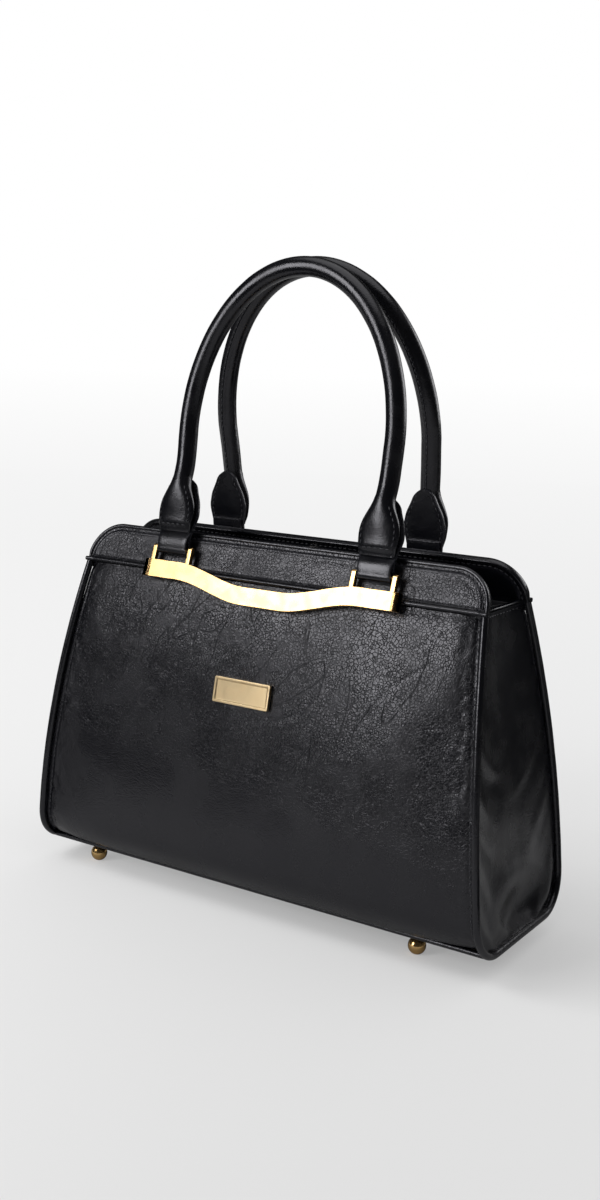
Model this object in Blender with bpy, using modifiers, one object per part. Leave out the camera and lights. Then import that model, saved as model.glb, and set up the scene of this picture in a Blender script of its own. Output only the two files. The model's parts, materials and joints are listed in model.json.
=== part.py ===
"""Structured leather handbag with two rolled handles on cast bracket bars.

Metres, +Z up. The front faces -Y and the width runs along X. The origin lies on the floor,
under the middle of the bag. Each half of the bag is built once, in a frame whose -Y side is
the outside, and the back half is the same half turned about Z.
"""

import math

import bmesh
import bpy
from mathutils import Matrix, Vector

# Body, measured over the piping
BASE_WIDTH = 0.320
SEAM_WIDTH = 0.281
SIDE_SWELL = 0.0013
BASE_DEPTH = 0.110
SEAM_DEPTH = 0.057
FACE_SWELL = 0.0095
SEAM_RISE = 0.1875
YOKE_HEIGHT = 0.023
YOKE_TUCK = 0.00985
FOOT_HEIGHT = 0.010
CORNER_RADIUS = 0.0245
RIM_CORNER_RADIUS = 0.023

# Leather, boards and lining
GAP = 0.0003
WELD = 0.00001
LEATHER = 0.0014
WALL_BOARD = 0.0016
BASE_BOARD = 0.0020
LINING = 0.0008
FACE_INSET = 0.0008
GUSSET_INSET = 0.0023
GUSSET_PINCH = 0.0060
BOARD_MARGIN = 0.0040
BASE_BOARD_MARGIN = 0.0060
BASE_BOARD_LAP = 0.0025

# Piping and edges
PIPING_RADIUS = 0.0022
BASE_PIPING_RADIUS = 0.0016
BASE_PIPING_ANGLE = math.radians(25)
BOARD_START = math.radians(12)
WELT_RADIUS = 0.0013
WELT_INSET = 0.0006
BINDING_HEIGHT = 0.0026
BINDING_PROUD = 0.0008
BINDING_ROUND = 0.0007

# Feet
FOOT_RADIUS = 0.0052
FOOT_FLAT_RADIUS = 0.0020
FOOT_STEM_RADIUS = 0.0016
FOOT_END_INSET = 0.042
FOOT_SHIFT = -0.008
FOOT_FACE_INSET = 0.0222
NUT_RADIUS = 0.0040
NUT_HEIGHT = 0.0009

# Bracket bar
BAR_HALF_LENGTH = 0.089
BAR_HEIGHT = 0.0106
BAR_THICKNESS = 0.0042
BAR_LOWER = 0.0009
BAR_DIP = 0.0093
BAR_BEND_OUTER = 0.064
BAR_BEND_INNER = 0.013
BAR_CHAMFER = 0.0009
BAR_STANDOFF = 0.0010
BOSS_RADIUS = 0.0032
SCREW_SPREAD = 0.030
SCREW_RADIUS = 0.0013
SCREW_HEAD_RADIUS = 0.0030
SCREW_HEAD_HEIGHT = 0.0010
SCREW_BITE = 0.0022

# Lugs and crossbar pins
LEG_HALF_SPAN = 0.0709
LUG_SPREAD = 0.0132
LUG_THICKNESS = 0.0034
LUG_DEPTH = 0.0044
LUG_RISE = 0.0143
LUG_ROOT = 0.0030
PIN_RADIUS = 0.0012
PIN_SEAT = 0.0013

# Handle straps
STRAP_THICKNESS = 0.0016
STRAP_HALF_WIDTH = 0.0107
SPADE_HALF_WIDTH = 0.0138
SPADE_RISE = 0.041
SPADE_TIP = 0.003
STRAP_RETURN = 0.014
STRAP_CLOSE_RISE = 0.006
FRONT_SPADE_LEAN = math.radians(23)
BACK_SPADE_LEAN = math.radians(6)

# Handle rolls
ROLL_RADIUS = 0.0058
PAD_FOOT_RISE = 0.0105
PAD_HALF_WIDTH = 0.0124
PAD_HALF_THICKNESS = 0.0020
ROLL_BEND = 0.020
LEG_LENGTH = 0.0325
ARCH_RISE = 0.0967
FRONT_ROLL_LEAN = math.radians(7.8)
BACK_ROLL_LEAN = math.radians(8.9)
FRONT_SPLAY = 0.0008
BACK_SPLAY = 0.0018

# Name plate
PLATE_WIDTH = 0.0392
PLATE_HEIGHT = 0.0151
PLATE_THICKNESS = 0.0018
PLATE_RIM = 0.0012
PLATE_RECESS = 0.0005
PLATE_BEVEL = 0.0003
PLATE_RISE = 0.1243
PLATE_SHIFT = -0.0045

# Magnetic snap
SNAP_RADIUS = 0.0080
SOCKET_HEIGHT = 0.0020
SOCKET_BORE_RADIUS = 0.0034
SOCKET_BORE_DEPTH = 0.0013
STUD_HEIGHT = 0.0012
STUD_NUB_RADIUS = 0.0030
STUD_NUB_HEIGHT = 0.0011

# Shares of a spade's rise against shares of its greatest half width
SPADE_SHARES = (
    (0.0, 0.754),
    (0.12, 0.754),
    (0.52, 1.0),
    (0.73, 0.86),
    (0.88, 0.56),
    (1.0, 0.35),
    (1.1, 0.16),
)
# Shares of the rise from the pad's foot to the neck against those of the pad's half width
PAD_WIDTH_SHARES = ((0.0, 0.88), (0.35, 1.0), (0.58, 0.92), (0.8, 0.64), (1.0, 0.468))
# The same rise against how far the pad has thickened into the roll
PAD_ROUND_SHARES = ((0.0, 0.0), (0.45, 0.08), (0.75, 0.45), (1.0, 1.0))
# Shares of the seam's rise against how far the gusset is drawn in there
PINCH_SHARES = ((0.0, 0.0), (0.12, 0.55), (0.30, 0.35), (0.65, 0.75), (1.0, 1.0))

# The exponent of the pad's rounded-rectangle section, against 2 for a circle
PAD_SQUARENESS = 3

# Counts
FACE_COLUMNS = 4
FACE_ROWS = 10
ARC_ROWS = 5
SHARP_ANGLE = math.radians(40)
AXIS_WELD = 0.0001
GUSSET_COLUMNS = 6
CORNER_STEPS = 6
BAR_STEPS = 11
ROUND_STEPS = 14
FOOT_STEPS = 8
STRAP_COLUMNS = 2
STRAP_ROWS = 11
STRAP_WRAP_ROWS = 7
STRAP_RETURN_ROWS = 5
PAD_ROWS = 7
LEG_ROWS = 6
ARCH_ROWS = 12
ROLL_SIDES = 12

# Worked out from the sizes above
BOARD_INSET = FACE_INSET + LEATHER + GAP
NUT_INSET = BOARD_INSET + BASE_BOARD + GAP
LINING_INSET = NUT_INSET + NUT_HEIGHT + GAP
SEAM_HEIGHT = FOOT_HEIGHT + SEAM_RISE
CORNER_HEIGHT = FOOT_HEIGHT + CORNER_RADIUS
SEAM_HALF_GAP = WELT_RADIUS + GAP
FOOT_SPREAD_X = BASE_WIDTH / 2 - FOOT_END_INSET
FOOT_SPREAD_Y = BASE_DEPTH / 2 - FOOT_FACE_INSET
EDGE_INSET = 2 * PIPING_RADIUS + GAP
YOKE_RISE = math.hypot(YOKE_HEIGHT, YOKE_TUCK)
YOKE_LEAN = math.atan2(YOKE_TUCK, YOKE_HEIGHT)
BINDING_THICKNESS = 2 * LEATHER + GAP + 2 * BINDING_PROUD
PIN_RISE = LUG_RISE - LUG_DEPTH / 2
PIN_OUT = BAR_STANDOFF + LUG_DEPTH / 2
WRAP_RADIUS = PIN_RADIUS + GAP + STRAP_THICKNESS / 2
FLANGE_FRONT = WRAP_RADIUS + STRAP_THICKNESS / 2


def clear_scene():
    """Removes whatever the file holds."""
    for obj in list(bpy.data.objects):
        bpy.data.objects.remove(obj)


def collection(name, hidden=False):
    """A new collection under the scene's own."""
    made = bpy.data.collections.new(name)
    bpy.context.scene.collection.children.link(made)
    made.hide_render = hidden
    return made


def finish(name, colour, roughness, metallic=0.0):
    """A Principled material."""
    material = bpy.data.materials.new(name)
    material.use_nodes = True
    shader = material.node_tree.nodes["Principled BSDF"]
    shader.inputs["Base Color"].default_value = (*colour, 1.0)
    shader.inputs["Roughness"].default_value = roughness
    shader.inputs["Metallic"].default_value = metallic
    return material


# Shape rules


def eased(share):
    """A smooth step from 0 to 1."""
    share = min(max(share, 0.0), 1.0)
    return share * share * (3 - 2 * share)


def from_shares(shares, at):
    """The value at one place in a table of shares, eased between its rows."""
    for (start, low), (end, high) in zip(shares, shares[1:]):
        if at <= end:
            return low + (high - low) * eased((at - start) / (end - start))
    return shares[-1][1]


def swell(share):
    """A parabola that is 0 at both ends of a wall and 1 half way up."""
    return 4 * share * (1 - share)


def half_width(height):
    """Half the bag's width over the piping."""
    share = (height - FOOT_HEIGHT) / SEAM_RISE
    taper = (SEAM_WIDTH - BASE_WIDTH) / 2
    return BASE_WIDTH / 2 + taper * share + SIDE_SWELL * swell(share)


def half_depth(height):
    """Half the bag's depth over the piping, above the bottom corners."""
    share = (height - FOOT_HEIGHT) / SEAM_RISE
    taper = (SEAM_DEPTH - BASE_DEPTH) / 2
    return BASE_DEPTH / 2 + taper * share + FACE_SWELL * swell(share)


def depth_slope(height):
    """How fast the half depth grows with height."""
    share = (height - FOOT_HEIGHT) / SEAM_RISE
    taper = (SEAM_DEPTH - BASE_DEPTH) / 2
    return (taper + FACE_SWELL * 4 * (1 - 2 * share)) / SEAM_RISE


def corner_depth():
    """Where the centre of a bottom corner's curve lies, as a half depth."""
    return half_depth(CORNER_HEIGHT) - CORNER_RADIUS


def wall_point(height, inset):
    """Depth and height of a point set in from the wall, square to it."""
    slope = depth_slope(height)
    length = math.hypot(1, slope)
    return half_depth(height) - inset / length, height + inset * slope / length


def corner_point(angle, inset):
    """Depth and height on a bottom corner, at an angle from straight down."""
    radius = CORNER_RADIUS - inset
    return corner_depth() + radius * math.sin(angle), CORNER_HEIGHT - radius * math.cos(angle)


def wall_rows(inset, start_angle, top_height):
    """Depth and height of points from a bottom corner up to a height."""
    rows = []
    for step in range(ARC_ROWS):
        angle = start_angle + (math.pi / 2 - start_angle) * step / ARC_ROWS
        rows.append(corner_point(angle, inset))
    for step in range(FACE_ROWS + 1):
        height = CORNER_HEIGHT + (top_height - CORNER_HEIGHT) * step / FACE_ROWS
        rows.append(wall_point(height, inset))
    return rows


def pinch(depth, height):
    """How far the soft gusset is drawn in at a point."""
    across = min(abs(depth) / max(half_depth(max(height, CORNER_HEIGHT)), GAP), 1.0)
    share = (height - FOOT_HEIGHT) / SEAM_RISE
    return GUSSET_PINCH * (1 - across**2) * from_shares(PINCH_SHARES, share)


def gusset_face(depth, height, inset):
    """X of a point set in from the right gusset's outer face."""
    return half_width(height) - GUSSET_INSET - pinch(depth, height) - inset


# Building tools


def add(name, data, material, parent, group):
    """Links new data as an object of one material."""
    obj = bpy.data.objects.new(name, data)
    group.objects.link(obj)
    obj.parent = parent
    if material:
        data.materials.append(material)
    return obj


def empty(name, parent, group, location=(0, 0, 0), rotation=(0, 0, 0)):
    """A frame that other pieces are placed in."""
    obj = bpy.data.objects.new(name, None)
    group.objects.link(obj)
    obj.parent = parent
    obj.location = location
    obj.rotation_euler = rotation
    return obj


def shade_round(mesh):
    """Smooth shading with sharp corners."""
    mesh.shade_smooth()
    mesh.set_sharp_from_angle(angle=SHARP_ANGLE)


def shell(name, columns, rows, point, thickness, material, parent, group):
    """A leather or board sheet: a grid laid on a surface and given a thickness."""
    mesh = bpy.data.meshes.new(name)
    net = bmesh.new()
    bmesh.ops.create_grid(net, x_segments=columns, y_segments=rows, size=1)
    for vertex in net.verts:
        row = round((vertex.co.y + 1) / 2 * rows)
        vertex.co = point(vertex.co.x, row)
    net.to_mesh(mesh)
    net.free()
    shade_round(mesh)
    obj = add(name, mesh, material, parent, group)
    wall = obj.modifiers.new("wall", "SOLIDIFY")
    wall.thickness = thickness
    wall.offset = 0
    wall.use_even_offset = True
    return obj


def flat(name, outline, thickness, material, parent, group, chamfer=0.0):
    """A flat outline in local XY with its thickness shared to both sides of it."""
    curve = bpy.data.curves.new(name, "CURVE")
    curve.dimensions = "2D"
    curve.fill_mode = "BOTH"
    curve.extrude = thickness / 2 - chamfer
    curve.bevel_depth = chamfer
    curve.bevel_resolution = 0
    curve.offset = -chamfer
    spline = curve.splines.new("POLY")
    spline.points.add(len(outline) - 1)
    for point, (x, y) in zip(spline.points, outline):
        point.co = (x, y, 0, 1)
    spline.use_cyclic_u = True
    return add(name, curve, material, parent, group)


def path_curve(name, path):
    """A curve along a path."""
    curve = bpy.data.curves.new(name, "CURVE")
    curve.dimensions = "3D"
    curve.use_fill_caps = True
    spline = curve.splines.new("POLY")
    spline.points.add(len(path) - 1)
    for point, place in zip(spline.points, path):
        point.co = (*place, 1)
    return curve


def tube(name, path, radius, material, parent, group):
    """A round cord of leather along a path."""
    curve = path_curve(name, path)
    curve.bevel_depth = radius
    curve.bevel_resolution = 2
    return add(name, curve, material, parent, group)


def turned(name, profile, material, parent, group, steps=ROUND_STEPS):
    """A round piece from its outer profile, listed from top to bottom."""
    mesh = bpy.data.meshes.new(name)
    points = [(radius, 0, height) for radius, height in profile]
    edges = [(index, index + 1) for index in range(len(points) - 1)]
    mesh.from_pydata(points, edges, [])
    obj = add(name, mesh, material, parent, group)
    spin = obj.modifiers.new("turn", "SCREW")
    spin.steps = steps
    spin.render_steps = steps
    spin.use_merge_vertices = True
    spin.merge_threshold = AXIS_WELD
    spin.use_smooth_shade = True
    return obj


def ring(name, outer, inner, low, high, material, parent, group):
    """A flat washer."""
    profile = [(inner, high), (outer, high), (outer, low), (inner, low), (inner, high)]
    return turned(name, profile, material, parent, group)


def cylinder(name, radius, length, material, parent, group, sides=ROUND_STEPS):
    """A cylinder centred on its origin, along local Z."""
    mesh = bpy.data.meshes.new(name)
    net = bmesh.new()
    bmesh.ops.create_cone(
        net, cap_ends=True, segments=sides, radius1=radius, radius2=radius, depth=length
    )
    net.to_mesh(mesh)
    net.free()
    shade_round(mesh)
    return add(name, mesh, material, parent, group)


def loft(name, rings, material, parent, group, closed=False):
    """Skins a row of rings of points, and caps its first end and, unless closed, its last."""
    mesh = bpy.data.meshes.new(name)
    net = bmesh.new()
    skin = [[net.verts.new(point) for point in ring_points] for ring_points in rings]
    count = len(rings[0])
    for lower, upper in zip(skin, skin[1:]):
        for side in range(count):
            turn = (side + 1) % count
            net.faces.new((lower[side], lower[turn], upper[turn], upper[side]))
    net.faces.new(list(reversed(skin[0])))
    if not closed:
        net.faces.new(skin[-1])
    bmesh.ops.recalc_face_normals(net, faces=net.faces)
    net.to_mesh(mesh)
    net.free()
    shade_round(mesh)
    return add(name, mesh, material, parent, group)


def as_mesh(obj):
    """Turns a curve object into a welded mesh object that can be cut or joined."""
    bpy.context.view_layer.update()
    graph = bpy.context.evaluated_depsgraph_get()
    name = obj.name
    mesh = bpy.data.meshes.new_from_object(obj.evaluated_get(graph))
    net = bmesh.new()
    net.from_mesh(mesh)
    bmesh.ops.remove_doubles(net, verts=net.verts, dist=WELD)
    net.to_mesh(mesh)
    net.free()
    group = obj.users_collection[0]
    place = obj.matrix_world.copy()
    bpy.data.objects.remove(obj)
    made = bpy.data.objects.new(name, mesh)
    made.matrix_world = place
    group.objects.link(made)
    return made



def combine(obj, other, operation):
    """Cuts a hidden cutter from a piece, or joins one onto it."""
    other.hide_render = True
    other.display_type = "WIRE"
    step = obj.modifiers.new(other.name, "BOOLEAN")
    step.operation = operation
    step.object = other
    step.solver = "EXACT"


# Body


def face_panel(side, finishes, parent, group):
    """The large grained leather panel, from the base piping up to the yoke seam."""
    start = BASE_PIPING_ANGLE + (BASE_PIPING_RADIUS + GAP) / (CORNER_RADIUS - BASE_PIPING_RADIUS)
    rows = wall_rows(FACE_INSET + LEATHER / 2, start, SEAM_HEIGHT - SEAM_HALF_GAP)

    def point(across, row):
        depth, height = rows[row]
        return Vector((across * (half_width(height) - EDGE_INSET), -depth, height))

    panel = shell(
        side + "_panel", FACE_COLUMNS, len(rows) - 1, point, LEATHER, finishes["grain"], parent, group
    )
    board_start = start + BOARD_START
    board_inset = BOARD_INSET + WALL_BOARD / 2
    board_rows = wall_rows(board_inset, board_start, SEAM_HEIGHT - 2 * SEAM_HALF_GAP)

    def board_point(across, row):
        depth, height = board_rows[row]
        reach = half_width(height) - EDGE_INSET - BOARD_MARGIN
        return Vector((across * reach, -depth, height))

    board = shell(
        side + "_board",
        FACE_COLUMNS,
        len(board_rows) - 1,
        board_point,
        WALL_BOARD,
        finishes["board"],
        parent,
        group,
    )
    return panel, board


def yoke_outline(inset, foot):
    """The yoke's outline set in from the rim, in the yoke's own plane."""
    radius = RIM_CORNER_RADIUS - inset
    corner_rise = YOKE_RISE - RIM_CORNER_RADIUS
    corner_width = half_width(SEAM_HEIGHT + corner_rise * math.cos(YOKE_LEAN))
    centre = corner_width - RIM_CORNER_RADIUS
    half = [(half_width(SEAM_HEIGHT + foot * math.cos(YOKE_LEAN)) - inset, foot)]
    for step in range(CORNER_STEPS + 1):
        angle = math.pi / 2 * step / CORNER_STEPS
        x = centre + radius * math.cos(angle)
        half.append((x, corner_rise + radius * math.sin(angle)))
    return half + [(-x, rise) for x, rise in reversed(half)]


def yoke_parts(side, finishes, parent, group, guides):
    """The yoke, its facing inside, the rim binding and the folded welt along the seam."""
    tilt = (math.pi / 2 - YOKE_LEAN, 0, 0)
    seam = (0, -half_depth(SEAM_HEIGHT), SEAM_HEIGHT)
    frame = empty(side + "_yoke_frame", parent, group, seam, tilt)
    outline = yoke_outline(BINDING_HEIGHT + GAP, SEAM_HALF_GAP)
    yoke = flat(side + "_yoke", outline, LEATHER, finishes["grain"], frame, group)
    yoke.location.z = -FACE_INSET - LEATHER / 2
    facing = flat(side + "_facing", outline, LEATHER, finishes["smooth"], frame, group)
    facing.location.z = -BOARD_INSET - LEATHER / 2

    half_thick = BINDING_THICKNESS / 2
    half_high = BINDING_HEIGHT / 2
    section = [
        (-half_high, half_thick - BINDING_ROUND),
        (BINDING_ROUND - half_high, half_thick),
        (half_high - BINDING_ROUND, half_thick),
        (half_high, half_thick - BINDING_ROUND),
    ]
    section += [(-x, -y) for x, y in section]
    guide = flat(side + "_binding_section", section, 2 * GAP, None, frame, guides)
    guide.data.extrude = 0
    guide.data.fill_mode = "NONE"
    guide.hide_render = True
    guide.display_type = "WIRE"
    path = [(x, rise, 0) for x, rise in yoke_outline(half_high, 2 * GAP)]
    curve = path_curve(side + "_rim_binding", path)
    curve.twist_mode = "Z_UP"
    curve.bevel_mode = "OBJECT"
    curve.bevel_object = guide
    binding = add(side + "_rim_binding", curve, finishes["smooth"], frame, group)
    binding.location.z = -FACE_INSET - LEATHER - GAP / 2

    reach = half_width(SEAM_HEIGHT) - EDGE_INSET
    welt_depth, welt_height = wall_point(SEAM_HEIGHT, WELT_INSET)
    path = [(-reach, -welt_depth, welt_height), (reach, -welt_depth, welt_height)]
    tube(side + "_yoke_welt", path, WELT_RADIUS, finishes["smooth"], parent, group)
    return frame


def base_piping(side, finishes, parent, group):
    """The thin piping along a lower edge, between the two gusset pipings."""
    depth, height = corner_point(BASE_PIPING_ANGLE, BASE_PIPING_RADIUS)
    reach = half_width(height) - EDGE_INSET
    path = [(-reach, -depth, height), (reach, -depth, height)]
    tube(side + "_base_piping", path, BASE_PIPING_RADIUS, finishes["smooth"], parent, group)


def base_parts(finishes, group):
    """The base leather between the two base pipings, and the stiff board that lies on it."""
    inset = FACE_INSET + LEATHER / 2
    reach = (BASE_PIPING_RADIUS + GAP) / (CORNER_RADIUS - BASE_PIPING_RADIUS)
    edge = BASE_PIPING_ANGLE - reach
    half = [corner_point(edge * step / 2, inset) for step in (2, 1, 0)]
    rows = [(-depth, height) for depth, height in half]
    rows += [(depth, height) for depth, height in reversed(half)]

    def point(across, row):
        depth, height = rows[row]
        return Vector((across * (half_width(height) - EDGE_INSET), depth, height))

    panel = shell(
        "base_panel", FACE_COLUMNS, len(rows) - 1, point, LEATHER, finishes["smooth"], None, group
    )
    x = BASE_WIDTH / 2 - EDGE_INSET - BASE_BOARD_MARGIN
    y = corner_depth() + BASE_BOARD_LAP
    outline = [(x, -y), (x, y), (-x, y), (-x, -y)]
    board = as_mesh(flat("base_board", outline, BASE_BOARD, None, None, group))
    board.data.materials.append(finishes["board"])
    board.matrix_world = Matrix.Translation(
        (0, 0, FOOT_HEIGHT + BOARD_INSET + BASE_BOARD / 2)
    )
    return panel, board


def gusset_parts(side, finishes, parent, group):
    """A soft side gusset and the piping that runs round its front, bottom and back edges."""
    rows = wall_rows(EDGE_INSET, 0.0, SEAM_HEIGHT - GAP)

    def point(across, row):
        depth, height = rows[row]
        y = across * depth
        return Vector((gusset_face(y, height, LEATHER / 2), y, height))

    shell(
        side + "_gusset",
        GUSSET_COLUMNS,
        len(rows) - 1,
        point,
        LEATHER,
        finishes["smooth"],
        parent,
        group,
    )
    half = wall_rows(PIPING_RADIUS, 0.0, SEAM_HEIGHT)
    path = [(half_width(height) - PIPING_RADIUS, -depth, height) for depth, height in reversed(half)]
    path += [(half_width(height) - PIPING_RADIUS, depth, height) for depth, height in half]
    tube(side + "_gusset_piping", path, PIPING_RADIUS, finishes["smooth"], parent, group)


def lining(finishes, group):
    """The lining, one bucket inside the panels, gussets and base."""
    inset = LINING_INSET + LINING / 2
    rows = wall_rows(inset, 0.0, SEAM_HEIGHT - GAP)
    side_inset = LEATHER + GAP + LINING / 2
    rings = []
    for depth, height in rows:
        spots = [(2 * step / FACE_COLUMNS - 1) for step in range(FACE_COLUMNS)]
        corner = gusset_face(depth, height, side_inset)
        front = [Vector((spot * corner, -depth, height)) for spot in spots]
        right = []
        for step in range(GUSSET_COLUMNS):
            y = (2 * step / GUSSET_COLUMNS - 1) * depth
            right.append(Vector((gusset_face(y, height, side_inset), y, height)))
        half = front + right
        rings.append(half + [Vector((-point.x, -point.y, point.z)) for point in half])
    bucket = loft("lining", rings, finishes["lining"], None, group, closed=True)
    wall = bucket.modifiers.new("wall", "SOLIDIFY")
    wall.thickness = LINING
    wall.offset = 0
    wall.use_even_offset = True


# Hardware


def feet(finishes, group, cutters, leathers):
    """Four ball feet, whose stems pass the base leather and board to a nut each."""
    centre = math.sqrt(FOOT_RADIUS**2 - FOOT_FLAT_RADIUS**2)
    start = math.asin(FOOT_STEM_RADIUS / FOOT_RADIUS)
    end = math.pi - math.asin(FOOT_FLAT_RADIUS / FOOT_RADIUS)
    top = FOOT_HEIGHT + NUT_INSET + NUT_HEIGHT
    profile = [(0, top), (FOOT_STEM_RADIUS, top)]
    for step in range(FOOT_STEPS + 1):
        angle = start + (end - start) * step / FOOT_STEPS
        profile.append((FOOT_RADIUS * math.sin(angle), centre + FOOT_RADIUS * math.cos(angle)))
    profile.append((0, 0))
    low = FOOT_HEIGHT + NUT_INSET
    hole_radius = FOOT_STEM_RADIUS + GAP
    for depth_name, depth in (("front", -FOOT_SPREAD_Y), ("back", FOOT_SPREAD_Y)):
        for side_name, x in (("left", -FOOT_SPREAD_X), ("right", FOOT_SPREAD_X)):
            name = depth_name + "_" + side_name + "_foot"
            place = (x + FOOT_SHIFT, depth, 0)
            foot = turned(name, profile, finishes["gold"], None, group)
            foot.location = place
            nut = ring(
                name + "_nut",
                NUT_RADIUS,
                hole_radius,
                low,
                low + NUT_HEIGHT,
                finishes["steel"],
                None,
                group,
            )
            nut.location = place
            hole = cylinder(name + "_hole", hole_radius, 2 * top, None, None, cutters)
            hole.location = place
            for leather in leathers:
                combine(leather, hole, "DIFFERENCE")


def bar_drop(x):
    """How far the bar's middle line lies below its ends."""
    share = (BAR_BEND_OUTER - abs(x)) / (BAR_BEND_OUTER - BAR_BEND_INNER)
    return BAR_LOWER + BAR_DIP * eased(share)


def bar_outline():
    """The bar's outline: straight ends, and a long shallow dip between two S-curves."""
    run = BAR_BEND_OUTER - BAR_BEND_INNER
    right = [BAR_BEND_INNER + run * step / BAR_STEPS for step in range(BAR_STEPS + 1)]
    right.append(BAR_HALF_LENGTH)
    spots = [-x for x in reversed(right)] + right
    lower = [(x, -bar_drop(x) - BAR_HEIGHT / 2) for x in spots]
    upper = [(x, -bar_drop(x) + BAR_HEIGHT / 2) for x in reversed(spots)]
    return lower + upper


def lug_outline():
    """An upright lug seen from the side: straight up to a round top."""
    radius = LUG_DEPTH / 2
    points = [(-radius, -LUG_ROOT), (radius, -LUG_ROOT)]
    for step in range(CORNER_STEPS + 1):
        angle = math.pi * step / CORNER_STEPS
        points.append((radius * math.cos(angle), PIN_RISE + radius * math.sin(angle)))
    return points


def bracket_bar(side, finishes, parent, group, cutters, leathers):
    """The cast bar with its four lugs, the two crossbar pins and the two screws from inside."""
    lean = -math.atan(depth_slope(SEAM_HEIGHT))
    seam = (0, -half_depth(SEAM_HEIGHT), SEAM_HEIGHT)
    frame = empty(side + "_bar_frame", parent, group, seam, (math.pi / 2 - lean, 0, 0))
    plate = flat(
        side + "_bracket_bar", bar_outline(), BAR_THICKNESS, finishes["gold"], frame, group, BAR_CHAMFER
    )
    plate.location.z = BAR_STANDOFF + BAR_THICKNESS / 2
    bar = as_mesh(plate)
    for leg in (-1, 1):
        for lug_side in (-1, 1):
            x = leg * LEG_HALF_SPAN + lug_side * LUG_SPREAD
            name = side + "_lug_" + str(leg) + str(lug_side)
            lug = flat(name, lug_outline(), LUG_THICKNESS, None, frame, cutters)
            lug.rotation_euler = (0, -math.pi / 2, 0)
            lug.location = (x, 0, PIN_OUT)
            combine(bar, as_mesh(lug), "UNION")
    drop = bar_drop(SCREW_SPREAD)
    boss_low = GAP - FACE_INSET
    boss_high = BAR_STANDOFF + BAR_CHAMFER
    bite = BAR_STANDOFF + SCREW_BITE
    head_top = -BOARD_INSET - WALL_BOARD - GAP
    for leg_name, leg in (("left", -1), ("right", 1)):
        boss = cylinder(
            side + leg_name + "_boss", BOSS_RADIUS, boss_high - boss_low, None, frame, cutters
        )
        boss.location = (leg * SCREW_SPREAD, -drop, (boss_high + boss_low) / 2)
        combine(bar, boss, "UNION")
    for leg_name, leg in (("left", -1), ("right", 1)):
        place = (leg * SCREW_SPREAD, -drop, 0)
        hole = cylinder(
            side + leg_name + "_screw_hole", SCREW_RADIUS + GAP, 2 * (bite + GAP), None, frame, cutters
        )
        hole.location = place
        combine(bar, hole, "DIFFERENCE")
        through = cylinder(
            side + leg_name + "_screw_way", SCREW_RADIUS + GAP, 2 * LINING_INSET, None, frame, cutters
        )
        through.location = (place[0], place[1], -BOARD_INSET)
        for leather in leathers:
            combine(leather, through, "DIFFERENCE")
        low = head_top - SCREW_HEAD_HEIGHT
        profile = [
            (0, bite),
            (SCREW_RADIUS, bite),
            (SCREW_RADIUS, head_top),
            (SCREW_HEAD_RADIUS, head_top),
            (SCREW_HEAD_RADIUS, low),
            (0, low),
        ]
        name = side + "_" + leg_name + "_bar_screw"
        screw = turned(name, profile, finishes["steel"], frame, group)
        screw.location = place
    pin_reach = LUG_SPREAD - LUG_THICKNESS / 2 + PIN_SEAT
    for leg_name, leg in (("left", -1), ("right", 1)):
        place = (leg * LEG_HALF_SPAN, PIN_RISE, PIN_OUT)
        across = (0, math.pi / 2, 0)
        seat = cylinder(
            side + leg_name + "_pin_seat",
            PIN_RADIUS + GAP,
            2 * (pin_reach + GAP),
            None,
            frame,
            cutters,
        )
        seat.location = place
        seat.rotation_euler = across
        combine(bar, seat, "DIFFERENCE")
        name = side + "_" + leg_name + "_strap_pin"
        pin = cylinder(name, PIN_RADIUS, 2 * pin_reach, finishes["gold"], frame, group)
        pin.location = place
        pin.rotation_euler = across
    return lean, seam


def name_plate(finishes, parent, group):
    """The bare plate with a raised rim, flat on the front panel."""
    height = FOOT_HEIGHT + PLATE_RISE
    lean = -math.atan(depth_slope(height))
    out = GAP - FACE_INSET
    place = (PLATE_SHIFT, -half_depth(height), height)
    frame = empty("plate_frame", parent, group, place, (math.pi / 2 - lean, 0, 0))
    mesh = bpy.data.meshes.new("name_plate")
    net = bmesh.new()
    bmesh.ops.create_cube(net, size=1)
    bmesh.ops.scale(net, vec=(PLATE_WIDTH, PLATE_HEIGHT, PLATE_THICKNESS), verts=net.verts)
    bmesh.ops.translate(net, vec=(0, 0, out + PLATE_THICKNESS / 2), verts=net.verts)
    top = [face for face in net.faces if face.normal.z > 0.5]
    bmesh.ops.inset_region(net, faces=top, thickness=PLATE_RIM)
    bmesh.ops.translate(
        net, vec=(0, 0, -PLATE_RECESS), verts=[vertex for face in top for vertex in face.verts]
    )
    net.to_mesh(mesh)
    net.free()
    plate = add("name_plate", mesh, finishes["gold"], frame, group)
    soften = plate.modifiers.new("edges", "BEVEL")
    soften.width = PLATE_BEVEL
    soften.segments = 1


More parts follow.
